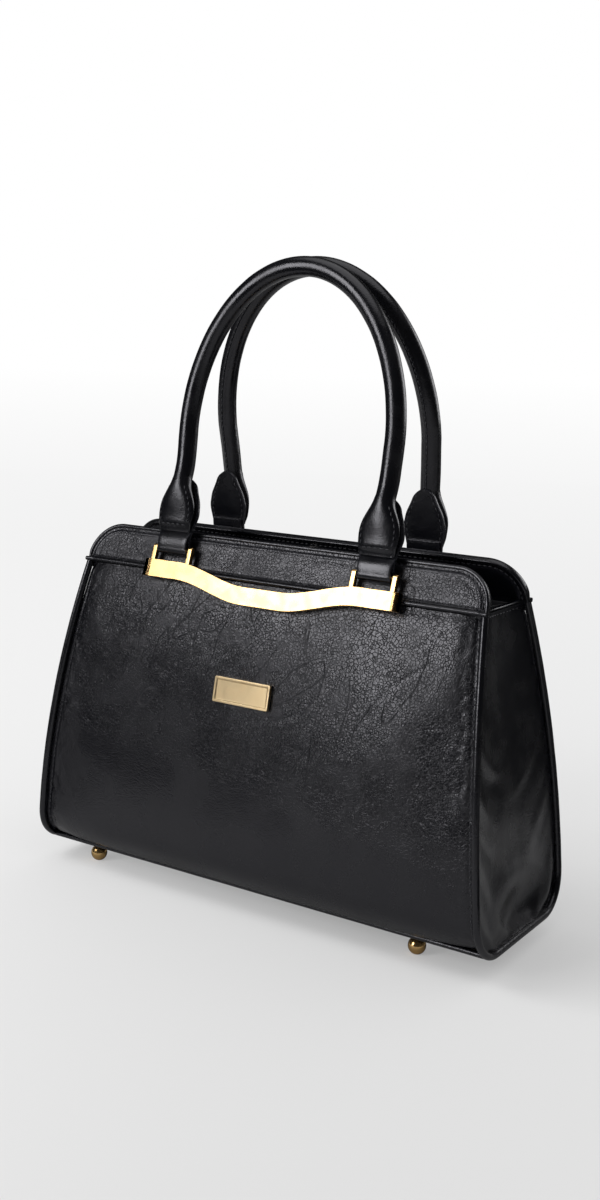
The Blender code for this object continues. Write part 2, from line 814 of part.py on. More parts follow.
def snap_parts(finishes, group, front_frame, back_frame):
    """The magnetic snap: a socket inside the front facing and a stud inside the back one."""
    out = -BOARD_INSET - LEATHER - GAP
    rise = (YOKE_RISE - BINDING_HEIGHT + SEAM_HALF_GAP) / 2
    socket_profile = [
        (0, SOCKET_HEIGHT - SOCKET_BORE_DEPTH),
        (SOCKET_BORE_RADIUS, SOCKET_HEIGHT - SOCKET_BORE_DEPTH),
        (SOCKET_BORE_RADIUS, SOCKET_HEIGHT),
        (SNAP_RADIUS, SOCKET_HEIGHT),
        (SNAP_RADIUS, 0),
        (0, 0),
    ]
    stud_profile = [
        (0, STUD_HEIGHT + STUD_NUB_HEIGHT),
        (STUD_NUB_RADIUS, STUD_HEIGHT + STUD_NUB_HEIGHT),
        (STUD_NUB_RADIUS, STUD_HEIGHT),
        (SNAP_RADIUS, STUD_HEIGHT),
        (SNAP_RADIUS, 0),
        (0, 0),
    ]
    for name, profile, frame in (
        ("snap_socket", socket_profile, front_frame),
        ("snap_stud", stud_profile, back_frame),
    ):
        disc = turned(name, profile, finishes["steel"], frame, group)
        disc.location = (0, rise, out)
        disc.rotation_euler = (math.pi, 0, 0)


# Handles


def lean_axes(lean):
    """Up along a leaning handle, and outwards square to it."""
    up = Vector((0, math.sin(lean), math.cos(lean)))
    out = Vector((0, -math.cos(lean), math.sin(lean)))
    return up, out


def strap_points(lean):
    """The strap's middle line from the flange's tip, round the pin and up behind, with half widths."""
    up, out = lean_axes(lean)
    tip = SPADE_RISE + SPADE_TIP
    points = []
    for step in range(STRAP_ROWS):
        rise = tip * (1 - step / STRAP_ROWS)
        width = SPADE_HALF_WIDTH * from_shares(SPADE_SHARES, rise / SPADE_RISE)
        points.append((out * WRAP_RADIUS + up * rise, width))
    for step in range(STRAP_WRAP_ROWS + 1):
        angle = math.pi * step / STRAP_WRAP_ROWS
        place = out * WRAP_RADIUS * math.cos(angle) - up * WRAP_RADIUS * math.sin(angle)
        points.append((place, STRAP_HALF_WIDTH))
    closed = WRAP_RADIUS - STRAP_THICKNESS - GAP
    for step in range(1, STRAP_RETURN_ROWS + 1):
        rise = STRAP_RETURN * step / STRAP_RETURN_ROWS
        offset = -WRAP_RADIUS + (closed + WRAP_RADIUS) * eased(rise / STRAP_CLOSE_RISE)
        points.append((out * offset + up * rise, STRAP_HALF_WIDTH))
    return points


def handle_strap(name, lean, x, material, axis, group):
    """The flange behind a pad, which narrows, wraps round the pin and comes up behind itself."""
    points = strap_points(lean)

    def point(across, row):
        place, width = points[row]
        return Vector((x + across * width, place.y, place.z))

    shell(name, STRAP_COLUMNS, len(points) - 1, point, STRAP_THICKNESS, material, axis, group)


def roll_ring(centre, across, out, half_width_here, half_thickness, squareness):
    """One section of the roll: round in the leg, a flat cushion in the pad."""
    points = []
    for side in range(ROLL_SIDES):
        angle = 2 * math.pi * side / ROLL_SIDES
        cos = math.copysign(abs(math.cos(angle)) ** (2 / squareness), math.cos(angle))
        sin = math.copysign(abs(math.sin(angle)) ** (2 / squareness), math.sin(angle))
        points.append(centre + across * (half_width_here * cos) + out * (half_thickness * sin))
    return points


def half_roll(spade_lean, roll_lean, splay):
    """Sections from the left pad's foot up to the top of the arch."""
    rings = []
    right = Vector((1, 0, 0))
    foot = Vector((-LEG_HALF_SPAN, 0, 0))
    up, out = lean_axes(spade_lean)
    for step in range(PAD_ROWS + 1):
        share = step / PAD_ROWS
        rise = PAD_FOOT_RISE + (SPADE_RISE - PAD_FOOT_RISE) * share
        rounding = from_shares(PAD_ROUND_SHARES, share)
        thick = PAD_HALF_THICKNESS + (ROLL_RADIUS - PAD_HALF_THICKNESS) * rounding
        width = PAD_HALF_WIDTH * from_shares(PAD_WIDTH_SHARES, share)
        centre = foot + up * rise + out * (FLANGE_FRONT + GAP + thick)
        rings.append(roll_ring(centre, right, out, width, thick, PAD_SQUARENESS - rounding))
    step_length = LEG_LENGTH / LEG_ROWS
    for step in range(LEG_ROWS):
        travelled = (step + 0.5) * step_length
        lean = spade_lean + (roll_lean - spade_lean) * eased(travelled / ROLL_BEND)
        up, out = lean_axes(lean)
        centre = centre + up * step_length - right * (splay / LEG_ROWS)
        if step < LEG_ROWS - 1:
            rings.append(roll_ring(centre, right, out, ROLL_RADIUS, ROLL_RADIUS, 2))
    up, out = lean_axes(roll_lean)
    half_span = LEG_HALF_SPAN + splay
    for step in range(ARCH_ROWS + 1):
        angle = math.pi / 2 * step / ARCH_ROWS
        across = right * (half_span * (1 - math.cos(angle)))
        place = centre + across + up * (ARCH_RISE * math.sin(angle))
        run = right * (half_span * math.sin(angle)) + up * (ARCH_RISE * math.cos(angle))
        square = run.normalized().cross(out)
        rings.append(roll_ring(place, square, out, ROLL_RADIUS, ROLL_RADIUS, 2))
    return rings


def handle(side, finishes, parent, group, bar_lean, seam, spade_lean, roll_lean, splay):
    """One handle, whose frame has its origin on the line of its two pins."""
    up, out = lean_axes(bar_lean)
    pin = Vector(seam) + up * PIN_RISE + out * PIN_OUT
    axis = empty(side + "_handle_axis", parent, group, pin)
    for leg_name, leg in (("left", -1), ("right", 1)):
        name = side + "_handle_" + leg_name + "_strap"
        handle_strap(name, spade_lean, leg * LEG_HALF_SPAN, finishes["smooth"], axis, group)
    half = half_roll(spade_lean, roll_lean, splay)
    mirrored = [[Vector((-p.x, p.y, p.z)) for p in points] for points in reversed(half[:-1])]
    loft(side + "_handle_roll", half + mirrored, finishes["smooth"], axis, group)


def build():
    """The whole bag."""
    clear_scene()
    group = collection("structured_handbag")
    cutters = collection("cutters", hidden=True)
    finishes = {
        "grain": finish("grained_leather", (0.012, 0.012, 0.014), 0.45),
        "smooth": finish("smooth_leather", (0.010, 0.010, 0.011), 0.30),
        "lining": finish("lining_cloth", (0.015, 0.015, 0.016), 0.85),
        "board": finish("stiffening_board", (0.18, 0.16, 0.13), 0.90),
        "gold": finish("pale_gold", (0.90, 0.66, 0.36), 0.22, 1.0),
        "steel": finish("plated_steel", (0.60, 0.58, 0.54), 0.35, 1.0),
    }
    base_panel, base_board = base_parts(finishes, group)
    feet(finishes, group, cutters, (base_panel, base_board))
    lining(finishes, group)
    for side, turn in (("right", 0.0), ("left", math.pi)):
        frame = empty(side + "_side", None, group, rotation=(0, 0, turn))
        gusset_parts(side, finishes, frame, group)
    stances = {
        "front": (FRONT_SPADE_LEAN, FRONT_ROLL_LEAN, FRONT_SPLAY),
        "back": (BACK_SPADE_LEAN, BACK_ROLL_LEAN, BACK_SPLAY),
    }
    yoke_frames = {}
    for side, turn in (("front", 0.0), ("back", math.pi)):
        frame = empty(side + "_half", None, group, rotation=(0, 0, turn))
        leathers = face_panel(side, finishes, frame, group)
        yoke_frames[side] = yoke_parts(side, finishes, frame, group, cutters)
        base_piping(side, finishes, frame, group)
        bar_lean, seam = bracket_bar(side, finishes, frame, group, cutters, leathers)
        handle(side, finishes, frame, group, bar_lean, seam, *stances[side])
        if side == "front":
            name_plate(finishes, frame, group)
    snap_parts(finishes, group, yoke_frames["front"], yoke_frames["back"])


build()
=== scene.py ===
"""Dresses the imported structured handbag: leathers, stitching, lining, gilt metal and a plain studio.

Metres, +Z up, the front facing -Y. The back half of the bag is the front half turned about Z.
"""

import json
import logging
import math
from collections.abc import Callable, Sequence
from dataclasses import dataclass, replace
from enum import Enum

import bpy
import numpy as np
from mathutils import Matrix, Vector, noise

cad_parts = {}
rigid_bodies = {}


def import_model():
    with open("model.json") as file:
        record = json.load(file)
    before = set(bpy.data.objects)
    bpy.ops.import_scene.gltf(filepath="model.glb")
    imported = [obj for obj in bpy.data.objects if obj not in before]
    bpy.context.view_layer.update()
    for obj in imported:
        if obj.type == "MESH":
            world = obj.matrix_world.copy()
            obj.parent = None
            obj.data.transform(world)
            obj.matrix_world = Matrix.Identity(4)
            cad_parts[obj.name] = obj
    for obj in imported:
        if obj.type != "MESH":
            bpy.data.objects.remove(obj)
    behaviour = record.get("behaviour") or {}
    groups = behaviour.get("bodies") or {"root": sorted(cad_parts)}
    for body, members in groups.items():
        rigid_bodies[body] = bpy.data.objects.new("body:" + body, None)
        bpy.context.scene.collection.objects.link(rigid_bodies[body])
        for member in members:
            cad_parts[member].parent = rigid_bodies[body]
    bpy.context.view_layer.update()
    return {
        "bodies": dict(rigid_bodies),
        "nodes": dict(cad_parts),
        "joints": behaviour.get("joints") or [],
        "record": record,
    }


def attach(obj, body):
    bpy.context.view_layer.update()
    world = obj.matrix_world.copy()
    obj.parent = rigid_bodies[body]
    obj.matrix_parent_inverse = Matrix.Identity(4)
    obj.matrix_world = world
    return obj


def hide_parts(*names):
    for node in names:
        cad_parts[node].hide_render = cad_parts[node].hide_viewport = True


LOG = logging.getLogger("handbag")
WHITE = (1.0, 1.0, 1.0)
CORNER_STEPS = 24
FACE_STEPS = 60
MERGE_DISTANCE = 0.000005
SLIVER = 1e-5

Piece = bpy.types.Object
Shares = tuple[tuple[float, float], ...]
Colour = tuple[float, float, float]
Rule = Callable[[float, float], float]
Track = Sequence[tuple[Vector, Vector]]


# Shape rules


def eased(share: float) -> float:
    """A smooth step from 0 to 1 of a share."""
    share = min(max(share, 0.0), 1.0)
    return share * share * (3 - 2 * share)


def bell(distance: float, width: float) -> float:
    """A soft bump that is 1 at no distance and dies away over the width."""
    return math.exp(-((distance / width) ** 2))


def ripple(point: Vector, size: float, seed: float) -> float:
    """Smooth chance relief between about -1 and 1, with features of the given size."""
    return noise.noise(point / size + Vector((seed, -seed, 2 * seed)))


@dataclass(frozen=True)
class Crest:
    """A soft ridge beside a line, or a groove where its height is negative."""

    height: float
    width: float

    def at(self, distance: float) -> float:
        """The relief at a distance from the line."""
        return self.height * bell(distance, self.width)


@dataclass(frozen=True)
class Wave:
    """Smooth chance relief, by its height, the size of its features and its seed."""

    height: float
    size: float
    seed: float

    def at(self, x: float, y: float, z: float = 0.0) -> float:
        """The relief at a place."""
        return self.height * ripple(Vector((x, y, z)), self.size, self.seed)


def from_shares(shares: Shares, at: float) -> float:
    """The value at one place in a table of shares, eased between its rows.

    Args:
        shares: Rows of place and value, in order.
        at: The place to look up.

    Returns:
        The value there.
    """
    for (start, low), (end, high) in zip(shares, shares[1:]):
        if at <= end:
            return low + (high - low) * eased((at - start) / (end - start))
    return shares[-1][1]


def flowing(shares: Shares, at: float, spread: float = 0.08) -> float:
    """The value at one place in a table of shares, along one soft curve past its rows.

    Args:
        shares: Rows of place and value, in order.
        at: The place to look up.
        spread: How far to each side the rows are averaged.

    Returns:
        The value there.
    """
    places, values = zip(*shares)
    spots = [at + spread * step / 3 for step in range(-3, 4)]
    return float(np.mean(np.interp(spots, places, values)))


def fold_line(points: Sequence[tuple[float, float]], across: float, run: float, width: float) -> float:
    """1 on a bent line and less beside it, for a crease drawn on the leather.

    Args:
        points: The line's corners.
        across: First coordinate of the place.
        run: Second coordinate of the place.
        width: How fast the crease dies away.

    Returns:
        The crease's strength there.
    """
    nearest = math.inf
    for (x, y), (next_x, next_y) in zip(points, points[1:]):
        length = math.hypot(next_x - x, next_y - y)
        along = ((across - x) * (next_x - x) + (run - y) * (next_y - y)) / length**2
        along = min(max(along, 0.0), 1.0)
        gap = math.hypot(across - x - along * (next_x - x), run - y - along * (next_y - y))
        nearest = min(nearest, gap)
    return bell(nearest, width)


def travelled(corners: np.ndarray) -> np.ndarray:
    """How far along a bent line each of its corners lies."""
    steps = np.linalg.norm(np.diff(corners, axis=0), axis=1)
    return np.concatenate(([0.0], np.cumsum(steps)))


def spaced(points: Sequence[tuple[float, float]], steps: int) -> tuple[np.ndarray, np.ndarray]:
    """Evenly spaced places along a bent line.

    Args:
        points: The line's corners.
        steps: The number of even steps.

    Returns:
        How far along the places lie, and the places as rows.
    """
    corners = np.array(points)
    lengths = travelled(corners)
    even = np.linspace(0, lengths[-1], steps + 1)
    columns = [np.interp(even, lengths, column) for column in corners.T]
    return even, np.array(columns).T


def beside(line: Sequence, number: int) -> tuple:
    """The points before and after one of a line, or that one itself at an end."""
    return line[max(number - 1, 0)], line[min(number + 1, len(line) - 1)]


class Half(Enum):
    """Which half or end of the bag a piece belongs to."""

    FRONT = "front"
    BACK = "back"
    RIGHT = "right"
    LEFT = "left"

    @property
    def turn(self) -> Matrix:
        """The turn about Z that brings the front or right piece to this place."""
        turned = self in (Half.BACK, Half.LEFT)
        return Matrix.Rotation(math.pi if turned else 0.0, 4, "Z")


class Body(Enum):
    """The moving bodies of the bag."""

    BAG = "bag"
    FRONT_HANDLE = "front_handle"
    BACK_HANDLE = "back_handle"


class Slot(Enum):
    """The material slots of the record."""

    GRAIN = "grained_leather"
    SMOOTH = "smooth_leather"
    LINING = "lining_cloth"
    BOARD = "stiffening_board"
    GOLD = "pale_gold"
    STEEL = "plated_steel"

    @property
    def stuff(self) -> str:
        """The last word of a piece's name."""
        stuffs = {Slot.LINING: "cloth", Slot.BOARD: "fibre", Slot.GOLD: "gilt", Slot.STEEL: "steel"}
        return stuffs.get(self, "leather")


@dataclass(frozen=True)
class Stand:
    """A place to build in: an origin, and the directions across, up and out from it."""

    origin: Vector
    across: Vector
    up: Vector
    out: Vector

    @classmethod
    def leaning(cls, origin: Vector, lean: float) -> "Stand":
        """A stand that faces the front and leans back from it by an angle."""
        up = Vector((0, math.sin(lean), math.cos(lean)))
        out = Vector((0, -math.cos(lean), math.sin(lean)))
        return cls(origin, Vector((1, 0, 0)), up, out)

    def at(self, across: float, up: float, out: float) -> Vector:
        """The point that far across, up and out."""
        return self.origin + self.across * across + self.up * up + self.out * out

    def matrix(self) -> Matrix:
        """The move from local X, Y, Z to across, up and out."""
        turn = Matrix((self.across, self.up, self.out)).transposed().to_4x4()
        return Matrix.Translation(self.origin) @ turn


@dataclass(frozen=True)
class Section:
    """One section of a swept piece: its centre, its two directions and half sizes."""

    centre: Vector
    across: Vector
    out: Vector
    half_across: float
    half_out: float
    squareness: float = 2.0

    def at(self, angle: float, proud: float = 0.0) -> Vector:
        """The point on the section at an angle from the across direction.

        Args:
            angle: Turn from across towards out, in radians.
            proud: How far the point stands out from the plain section.

        Returns:
            The point.
        """
        power = 2 / self.squareness
        cos = math.copysign(abs(math.cos(angle)) ** power, math.cos(angle))
        sin = math.copysign(abs(math.sin(angle)) ** power, math.sin(angle))
        across = self.across * ((self.half_across + proud) * cos)
        return self.centre + across + self.out * ((self.half_out + proud) * sin)


@dataclass(frozen=True)
class TrackPoint:
    """A point up a wall of the bag, and the wall's outward direction there."""

    depth: float
    height: float
    normal_depth: float
    normal_height: float
    run: float

    def proud(self, distance: float) -> tuple[float, float]:
        """Depth and height of the point moved outward by a distance."""
        depth = self.depth + self.normal_depth * distance
        return depth, self.height + self.normal_height * distance


@dataclass(frozen=True)
class BagForm:
    """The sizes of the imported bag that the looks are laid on."""

    base_width: float = 0.320
    seam_width: float = 0.281
    side_swell: float = 0.0013
    base_depth: float = 0.110
    seam_depth: float = 0.057
    face_swell: float = 0.0095
    seam_rise: float = 0.1875
    yoke_height: float = 0.023
    yoke_tuck: float = 0.00985
    foot_height: float = 0.010
    corner_radius: float = 0.0245
    rim_corner_radius: float = 0.023
    gap: float = 0.0003
    leather: float = 0.0014
    lining_inset: float = 0.0060
    face_inset: float = 0.0008
    gusset_inset: float = 0.0023
    gusset_pinch: float = 0.0060
    piping_radius: float = 0.0022
    base_piping_radius: float = 0.0016
    base_piping_angle: float = math.radians(25)
    welt_radius: float = 0.0013
    pinch_shares: Shares = ((0.0, 0.0), (0.12, 0.55), (0.30, 0.35), (0.65, 0.75), (1.0, 1.0))

    @property
    def seam_height(self) -> float:
        """The height of the yoke seam above the floor."""
        return self.foot_height + self.seam_rise

    @property
    def corner_height(self) -> float:
        """The height of the centre of the bottom corners."""
        return self.foot_height + self.corner_radius

    @property
    def edge_inset(self) -> float:
        """How far a panel's edge lies inside the piping's outer line."""
        return 2 * self.piping_radius + self.gap

    @property
    def seam_half_gap(self) -> float:
        """Half the room that the welt takes between panel and yoke."""
        return self.welt_radius + self.gap

    @property
    def yoke_rise(self) -> float:
        """The yoke's height along its own lean."""
        return math.hypot(self.yoke_height, self.yoke_tuck)

    @property
    def yoke_lean(self) -> float:
        """How far the yoke leans in."""
        return math.atan2(self.yoke_tuck, self.yoke_height)

    def share(self, height: float) -> float:
        """The share of the wall's rise at a height."""
        return (height - self.foot_height) / self.seam_rise

    def half_width(self, height: float) -> float:
        """Half the bag's width over the piping at a height."""
        share = self.share(height)
        taper = (self.seam_width - self.base_width) / 2
        return self.base_width / 2 + taper * share + self.side_swell * 4 * share * (1 - share)

    def half_depth(self, height: float) -> float:
        """Half the bag's depth over the piping at a height above the bottom corners."""
        share = self.share(height)
        taper = (self.seam_depth - self.base_depth) / 2
        return self.base_depth / 2 + taper * share + self.face_swell * 4 * share * (1 - share)

    def depth_slope(self, height: float) -> float:
        """How fast the half depth grows with height."""
        share = self.share(height)
        taper = (self.seam_depth - self.base_depth) / 2
        return (taper + self.face_swell * 4 * (1 - 2 * share)) / self.seam_rise

    def corner_point(self, angle: float, inset: float) -> tuple[float, float]:
        """Depth and height on a bottom corner, at an angle from straight down."""
        radius = self.corner_radius - inset
        centre = self.half_depth(self.corner_height) - self.corner_radius
        return centre + radius * math.sin(angle), self.corner_height - radius * math.cos(angle)

    def wall_point(self, height: float, inset: float) -> tuple[float, float]:
        """Depth and height of a point set in from the wall, square to it."""
        slope = self.depth_slope(height)
        length = math.hypot(1, slope)
        return self.half_depth(height) - inset / length, height + inset * slope / length

    def track(self, inset: float, start: float, top: float, steps: int) -> list[TrackPoint]:
        """Evenly spaced points from a bottom corner up a wall.

        Args:
            inset: How far the points lie inside the wall's outer face.
            start: The angle on the bottom corner that they start from.
            top: The height that they end at.
            steps: The number of even steps.

        Returns:
            The points, from the bottom up.
        """
        arc = [start + (math.pi / 2 - start) * step / CORNER_STEPS for step in range(CORNER_STEPS)]
        points = [self.corner_point(angle, inset) for angle in arc]
        climb = top - self.corner_height
        for step in range(FACE_STEPS + 1):
            points.append(self.wall_point(self.corner_height + climb * step / FACE_STEPS, inset))
        even, places = spaced(points, steps)
        depth, height = places.T
        run_depth, run_height = np.gradient(depth), np.gradient(height)
        size = np.hypot(run_depth, run_height)
        rows = zip(depth, height, run_height / size, -run_depth / size, even)
        return [TrackPoint(*(float(value) for value in row)) for row in rows]

    def pinch(self, depth: float, height: float) -> float:
        """How far the soft gusset is drawn in at a point."""
        across = min(abs(depth) / self.half_depth(max(height, self.corner_height)), 1.0)
        return self.gusset_pinch * (1 - across**2) * from_shares(self.pinch_shares, self.share(height))

    def gusset_face(self, depth: float, height: float, inset: float) -> float:
        """X of a point set in from the right gusset's outer face."""
        return self.half_width(height) - self.gusset_inset - self.pinch(depth, height) - inset

    def seam_stand(self) -> Stand:
        """The stand of the bracket bar, on the middle of the front yoke seam."""
        origin = Vector((0, -self.half_depth(self.seam_height), self.seam_height))
        return Stand.leaning(origin, -math.atan(self.depth_slope(self.seam_height)))

    def yoke_stand(self) -> Stand:
        """The stand of the front yoke, which leans in more than the panel."""
        origin = Vector((0, -self.half_depth(self.seam_height), self.seam_height))
        return Stand.leaning(origin, self.yoke_lean)

    @property
    def yoke_corner_rise(self) -> float:
        """The rise at which the yoke's top corners begin."""
        return self.yoke_rise - self.rim_corner_radius

    @property
    def yoke_corner_centre(self) -> float:
        """How far across the centres of the yoke's top corners lie."""
        height = self.seam_height + self.yoke_corner_rise * math.cos(self.yoke_lean)
        return self.half_width(height) - self.rim_corner_radius

    def yoke_reach(self, rise: float, inset: float) -> float:
        """Half the yoke's width at a rise, set in from its outline."""
        if rise <= self.yoke_corner_rise:
            return self.half_width(self.seam_height + rise * math.cos(self.yoke_lean)) - inset
        radius = self.rim_corner_radius - inset
        drop = min(rise - self.yoke_corner_rise, radius)
        return self.yoke_corner_centre + math.sqrt(radius**2 - drop**2)

    def rim_distance(self, across: float, rise: float) -> float:
        """How far a point of the yoke lies inside the rim."""
        past = abs(across) - self.yoke_corner_centre
        climb = rise - self.yoke_corner_rise
        if past > 0 and climb > 0:
            return self.rim_corner_radius - math.hypot(past, climb)
        side = self.yoke_reach(rise, 0.0) - abs(across)
        return min(side, self.yoke_rise - rise)

    def rim_path(self, inset: float, foot: float, steps: int) -> list[tuple[float, float]]:
        """Evenly spaced points round the yoke from its right foot to its left one.

        Args:
            inset: How far the path lies inside the rim.
            foot: The rise at which it starts and ends.
            steps: The number of even steps.

        Returns:
            Pairs of across and rise.
        """
        radius = self.rim_corner_radius - inset
        half = [(self.yoke_reach(foot, inset), foot)]
        for step in range(CORNER_STEPS + 1):
            angle = math.pi / 2 * step / CORNER_STEPS
            across = self.yoke_corner_centre + radius * math.cos(angle)
            half.append((across, self.yoke_corner_rise + radius * math.sin(angle)))
        _, places = spaced(half + [(-across, rise) for across, rise in reversed(half)], steps)
        return [(float(across), float(rise)) for across, rise in places]


FORM = BagForm()


# The modelling bench


class Bench:
    """Tools that start, shape and finish one piece at a time."""

    @staticmethod
    def clear() -> None:
        """Leaves nothing selected, so that an operator acts on the next piece alone."""
        if bpy.context.mode != "OBJECT":
            bpy.ops.object.mode_set(mode="OBJECT")
        bpy.ops.object.select_all(action="DESELECT")

    @staticmethod
    def hold(piece: Piece) -> None:
        """Selects one piece alone and makes it the active one."""
        Bench.clear()
        piece.select_set(True)
        bpy.context.view_layer.objects.active = piece

    @staticmethod
    def named(name: str) -> Piece:
        """Names the piece that was just added."""
        piece = bpy.context.active_object
        piece.name = piece.data.name = name
        return piece

    @staticmethod
    def card(name: str) -> Piece:
        """A square sheet of one metre on the origin."""
        Bench.clear()
        bpy.ops.mesh.primitive_grid_add(x_subdivisions=2, y_subdivisions=2, size=1)
        return Bench.named(name)

    @staticmethod
    def laid(
        name: str,
        size: tuple[int, int],
        place: Callable[[float, float], Vector],
        marks: dict[str, Rule] | None = None,
        flat: Callable[[float, float], tuple[float, float]] | None = None,
    ) -> Piece:
        """A grid laid on a surface.

        Args:
            name: The piece's name.
            size: The number of columns and of rows.
            place: Gives the point for a share across, from -1 to 1, and up, from 0 to 1.
            marks: Gives, by name, how worn or creased the surface is there, from 0 to 1.
            flat: Gives the place on the flat cut, in metres, for the UV map.

        Returns:
            The piece, without thickness.
        """
        Bench.clear()
        bpy.ops.mesh.primitive_grid_add(x_subdivisions=size[0], y_subdivisions=size[1], size=2)
        piece = Bench.named(name)
        mesh = piece.data
        shares = [(vertex.co.x, (vertex.co.y + 1) / 2) for vertex in mesh.vertices]
        if flat:
            layer = mesh.uv_layers.active or mesh.uv_layers.new(name="cut")
            spots = [flat(*share) for share in shares]
            for loop in mesh.loops:
                layer.data[loop.index].uv = spots[loop.vertex_index]
        for key, mark in (marks or {}).items():
            layer = mesh.attributes.new(key, "FLOAT", "POINT")
            layer.data.foreach_set("value", [mark(*share) for share in shares])
        points = [place(*share) for share in shares]
        mesh.vertices.foreach_set("co", [value for point in points for value in point])
        mesh.update()
        return piece

    @staticmethod
    def edit(piece: Piece, *steps: Callable[[], object]) -> None:
        """Runs operators in edit mode with the whole of a piece selected."""
        Bench.hold(piece)
        bpy.ops.object.mode_set(mode="EDIT")
        bpy.ops.mesh.select_all(action="SELECT")
        for step in steps:
            step()
        bpy.ops.object.mode_set(mode="OBJECT")

    @staticmethod
    def turn_faces(inward: bool = False) -> None:
        """Turns the selected faces all outward, or all inward."""
        bpy.ops.mesh.normals_make_consistent(inside=inward)

    @staticmethod
    def merge() -> None:
        """Merges selected points that lie on each other."""
        bpy.ops.mesh.remove_doubles(threshold=MERGE_DISTANCE)

    @staticmethod
    def apply(piece: Piece) -> None:
        """Applies a piece's modifiers in order."""
        Bench.hold(piece)
        for modifier in list(piece.modifiers):
            bpy.ops.object.modifier_apply(modifier=modifier.name)

    @staticmethod
    def change(piece: Piece, kind: str, **settings: object) -> None:
        """Adds a modifier with its settings and applies it."""
        modifier = piece.modifiers.new(kind.lower(), kind)
        for key, setting in settings.items():
            setattr(modifier, key, setting)
        Bench.apply(piece)

    @staticmethod
    def wall(piece: Piece, thickness: float, offset: float = -1.0, even: bool = True) -> None:
        """Gives a laid sheet its thickness, inward unless told otherwise."""
        Bench.change(piece, "SOLIDIFY", thickness=thickness, offset=offset, use_even_offset=even)

    @staticmethod
    def soften(piece: Piece, width: float, segments: int = 2, angle: float = 40) -> None:
        """Rounds the edges of a piece that are sharper than an angle in degrees."""
        limits = {"limit_method": "ANGLE", "angle_limit": math.radians(angle), "harden_normals": False}
        Bench.change(piece, "BEVEL", width=width, segments=segments, **limits)

    @staticmethod
    def smooth(piece: Piece, angle: float = 50) -> None:
        """Shades a piece smooth up to an angle in degrees."""
        Bench.hold(piece)
        bpy.ops.object.shade_smooth_by_angle(angle=math.radians(angle))

    @staticmethod
    def even(piece: Piece, angle: float) -> None:
        """Shades a cast piece so that broad faces look flat between their rounded edges."""
        Bench.smooth(piece, angle)
        Bench.change(piece, "WEIGHTED_NORMAL", keep_sharp=True)

    @staticmethod
    def sweep(
        name: str, sections: Sequence[Section], sides: int, proud: Callable[[float, int], float] | None = None
    ) -> Piece:
        """A closed skin round a row of sections.

        Args:
            name: The piece's name.
            sections: The sections in order.
            sides: The number of sides round each.
            proud: How far the skin stands out at an angle of a section, by its number.

        Returns:
            The piece, with its ends closed.
        """
        last = len(sections) - 1

        def place(across: float, up: float) -> Vector:
            """The point for a share across and up."""
            row = round(up * last)
            angle = math.pi * (across + 1)
            return sections[row].at(angle, proud(angle, row) if proud else 0.0)

        piece = Bench.laid(name, (sides, last), place)
        Bench.edit(piece, Bench.merge, lambda: bpy.ops.mesh.fill_holes(sides=0), Bench.turn_faces)
        Bench.smooth(piece)
        return piece

    @staticmethod
    def stack(name: str, profile: Shares, sides: int) -> Piece:
        """A round piece drawn up from a disc, ring by ring.

        Args:
            name: The piece's name.
            profile: Radius and height of each ring, from the first to the last.
            sides: The number of sides.

        Returns:
            The closed piece, upright on the origin.
        """
        Bench.clear()
        radius, height = profile[0]
        foot = (0, 0, height)
        bpy.ops.mesh.primitive_circle_add(vertices=sides, radius=radius, fill_type="NGON", location=foot)
        piece = Bench.named(name)
        Bench.hold(piece)
        bpy.ops.object.transform_apply(location=True, rotation=False, scale=False)
        bpy.ops.object.mode_set(mode="EDIT")
        bpy.ops.mesh.select_all(action="SELECT")
        for next_radius, next_height in profile[1:]:
            rise = (0, 0, next_height - height)
            bpy.ops.mesh.extrude_region_move(TRANSFORM_OT_translate={"value": rise})
            size = next_radius / radius
            bpy.ops.transform.resize(value=(size, size, 1), center_override=(0, 0, next_height))
            radius, height = next_radius, next_height
        bpy.ops.mesh.select_all(action="SELECT")
        Bench.turn_faces()
        bpy.ops.object.mode_set(mode="OBJECT")
        return piece

    @staticmethod
    def block(name: str, size: tuple[float, float, float]) -> Piece:
        """A block of a given size on the origin, to be cut and shaped."""
        Bench.clear()
        bpy.ops.mesh.primitive_cube_add(size=1)
        piece = Bench.named(name)
        Bench.edit(piece, lambda: bpy.ops.transform.resize(value=size))
        return piece

    @staticmethod
    def work(
        piece: Piece,
        wanted: Callable[[Vector, Vector], bool],
        *steps: Callable[[], object],
        faces: bool = False,
    ) -> None:
        """Runs operators in edit mode on the edges or the faces that are wanted.

        Args:
            piece: The piece.
            wanted: Says from an edge's middle and direction, or a face's middle and normal, if it is picked.
            steps: The operators, in order.
            faces: Whether faces are picked.
        """
        Bench.hold(piece)
        mesh = piece.data
        for element in (*mesh.vertices, *mesh.edges, *mesh.polygons):
            element.select = False
        for face in mesh.polygons if faces else ():
            face.select = wanted(face.center, face.normal)
        for edge in () if faces else mesh.edges:
            start, end = (mesh.vertices[index].co for index in edge.vertices)
            edge.select = wanted((start + end) / 2, (end - start).normalized())
        bpy.ops.object.mode_set(mode="EDIT")
        bpy.context.tool_settings.mesh_select_mode = (False, not faces, faces)
        for step in steps:
            step()
        bpy.ops.object.mode_set(mode="OBJECT")

    @staticmethod
    def bevel(piece: Piece, wanted: Callable[[Vector, Vector], bool], width: float, segments: int) -> None:
        """Bevels the edges that are wanted."""
        Bench.work(piece, wanted, lambda: bpy.ops.mesh.bevel(offset=width, segments=segments, affect="EDGES"))

    @staticmethod
    def join(name: str, pieces: Sequence[Piece]) -> Piece:
        """Makes one piece of several."""
        Bench.hold(pieces[0])
        for piece in pieces[1:]:
            piece.select_set(True)
        bpy.ops.object.join()
        return Bench.named(name)

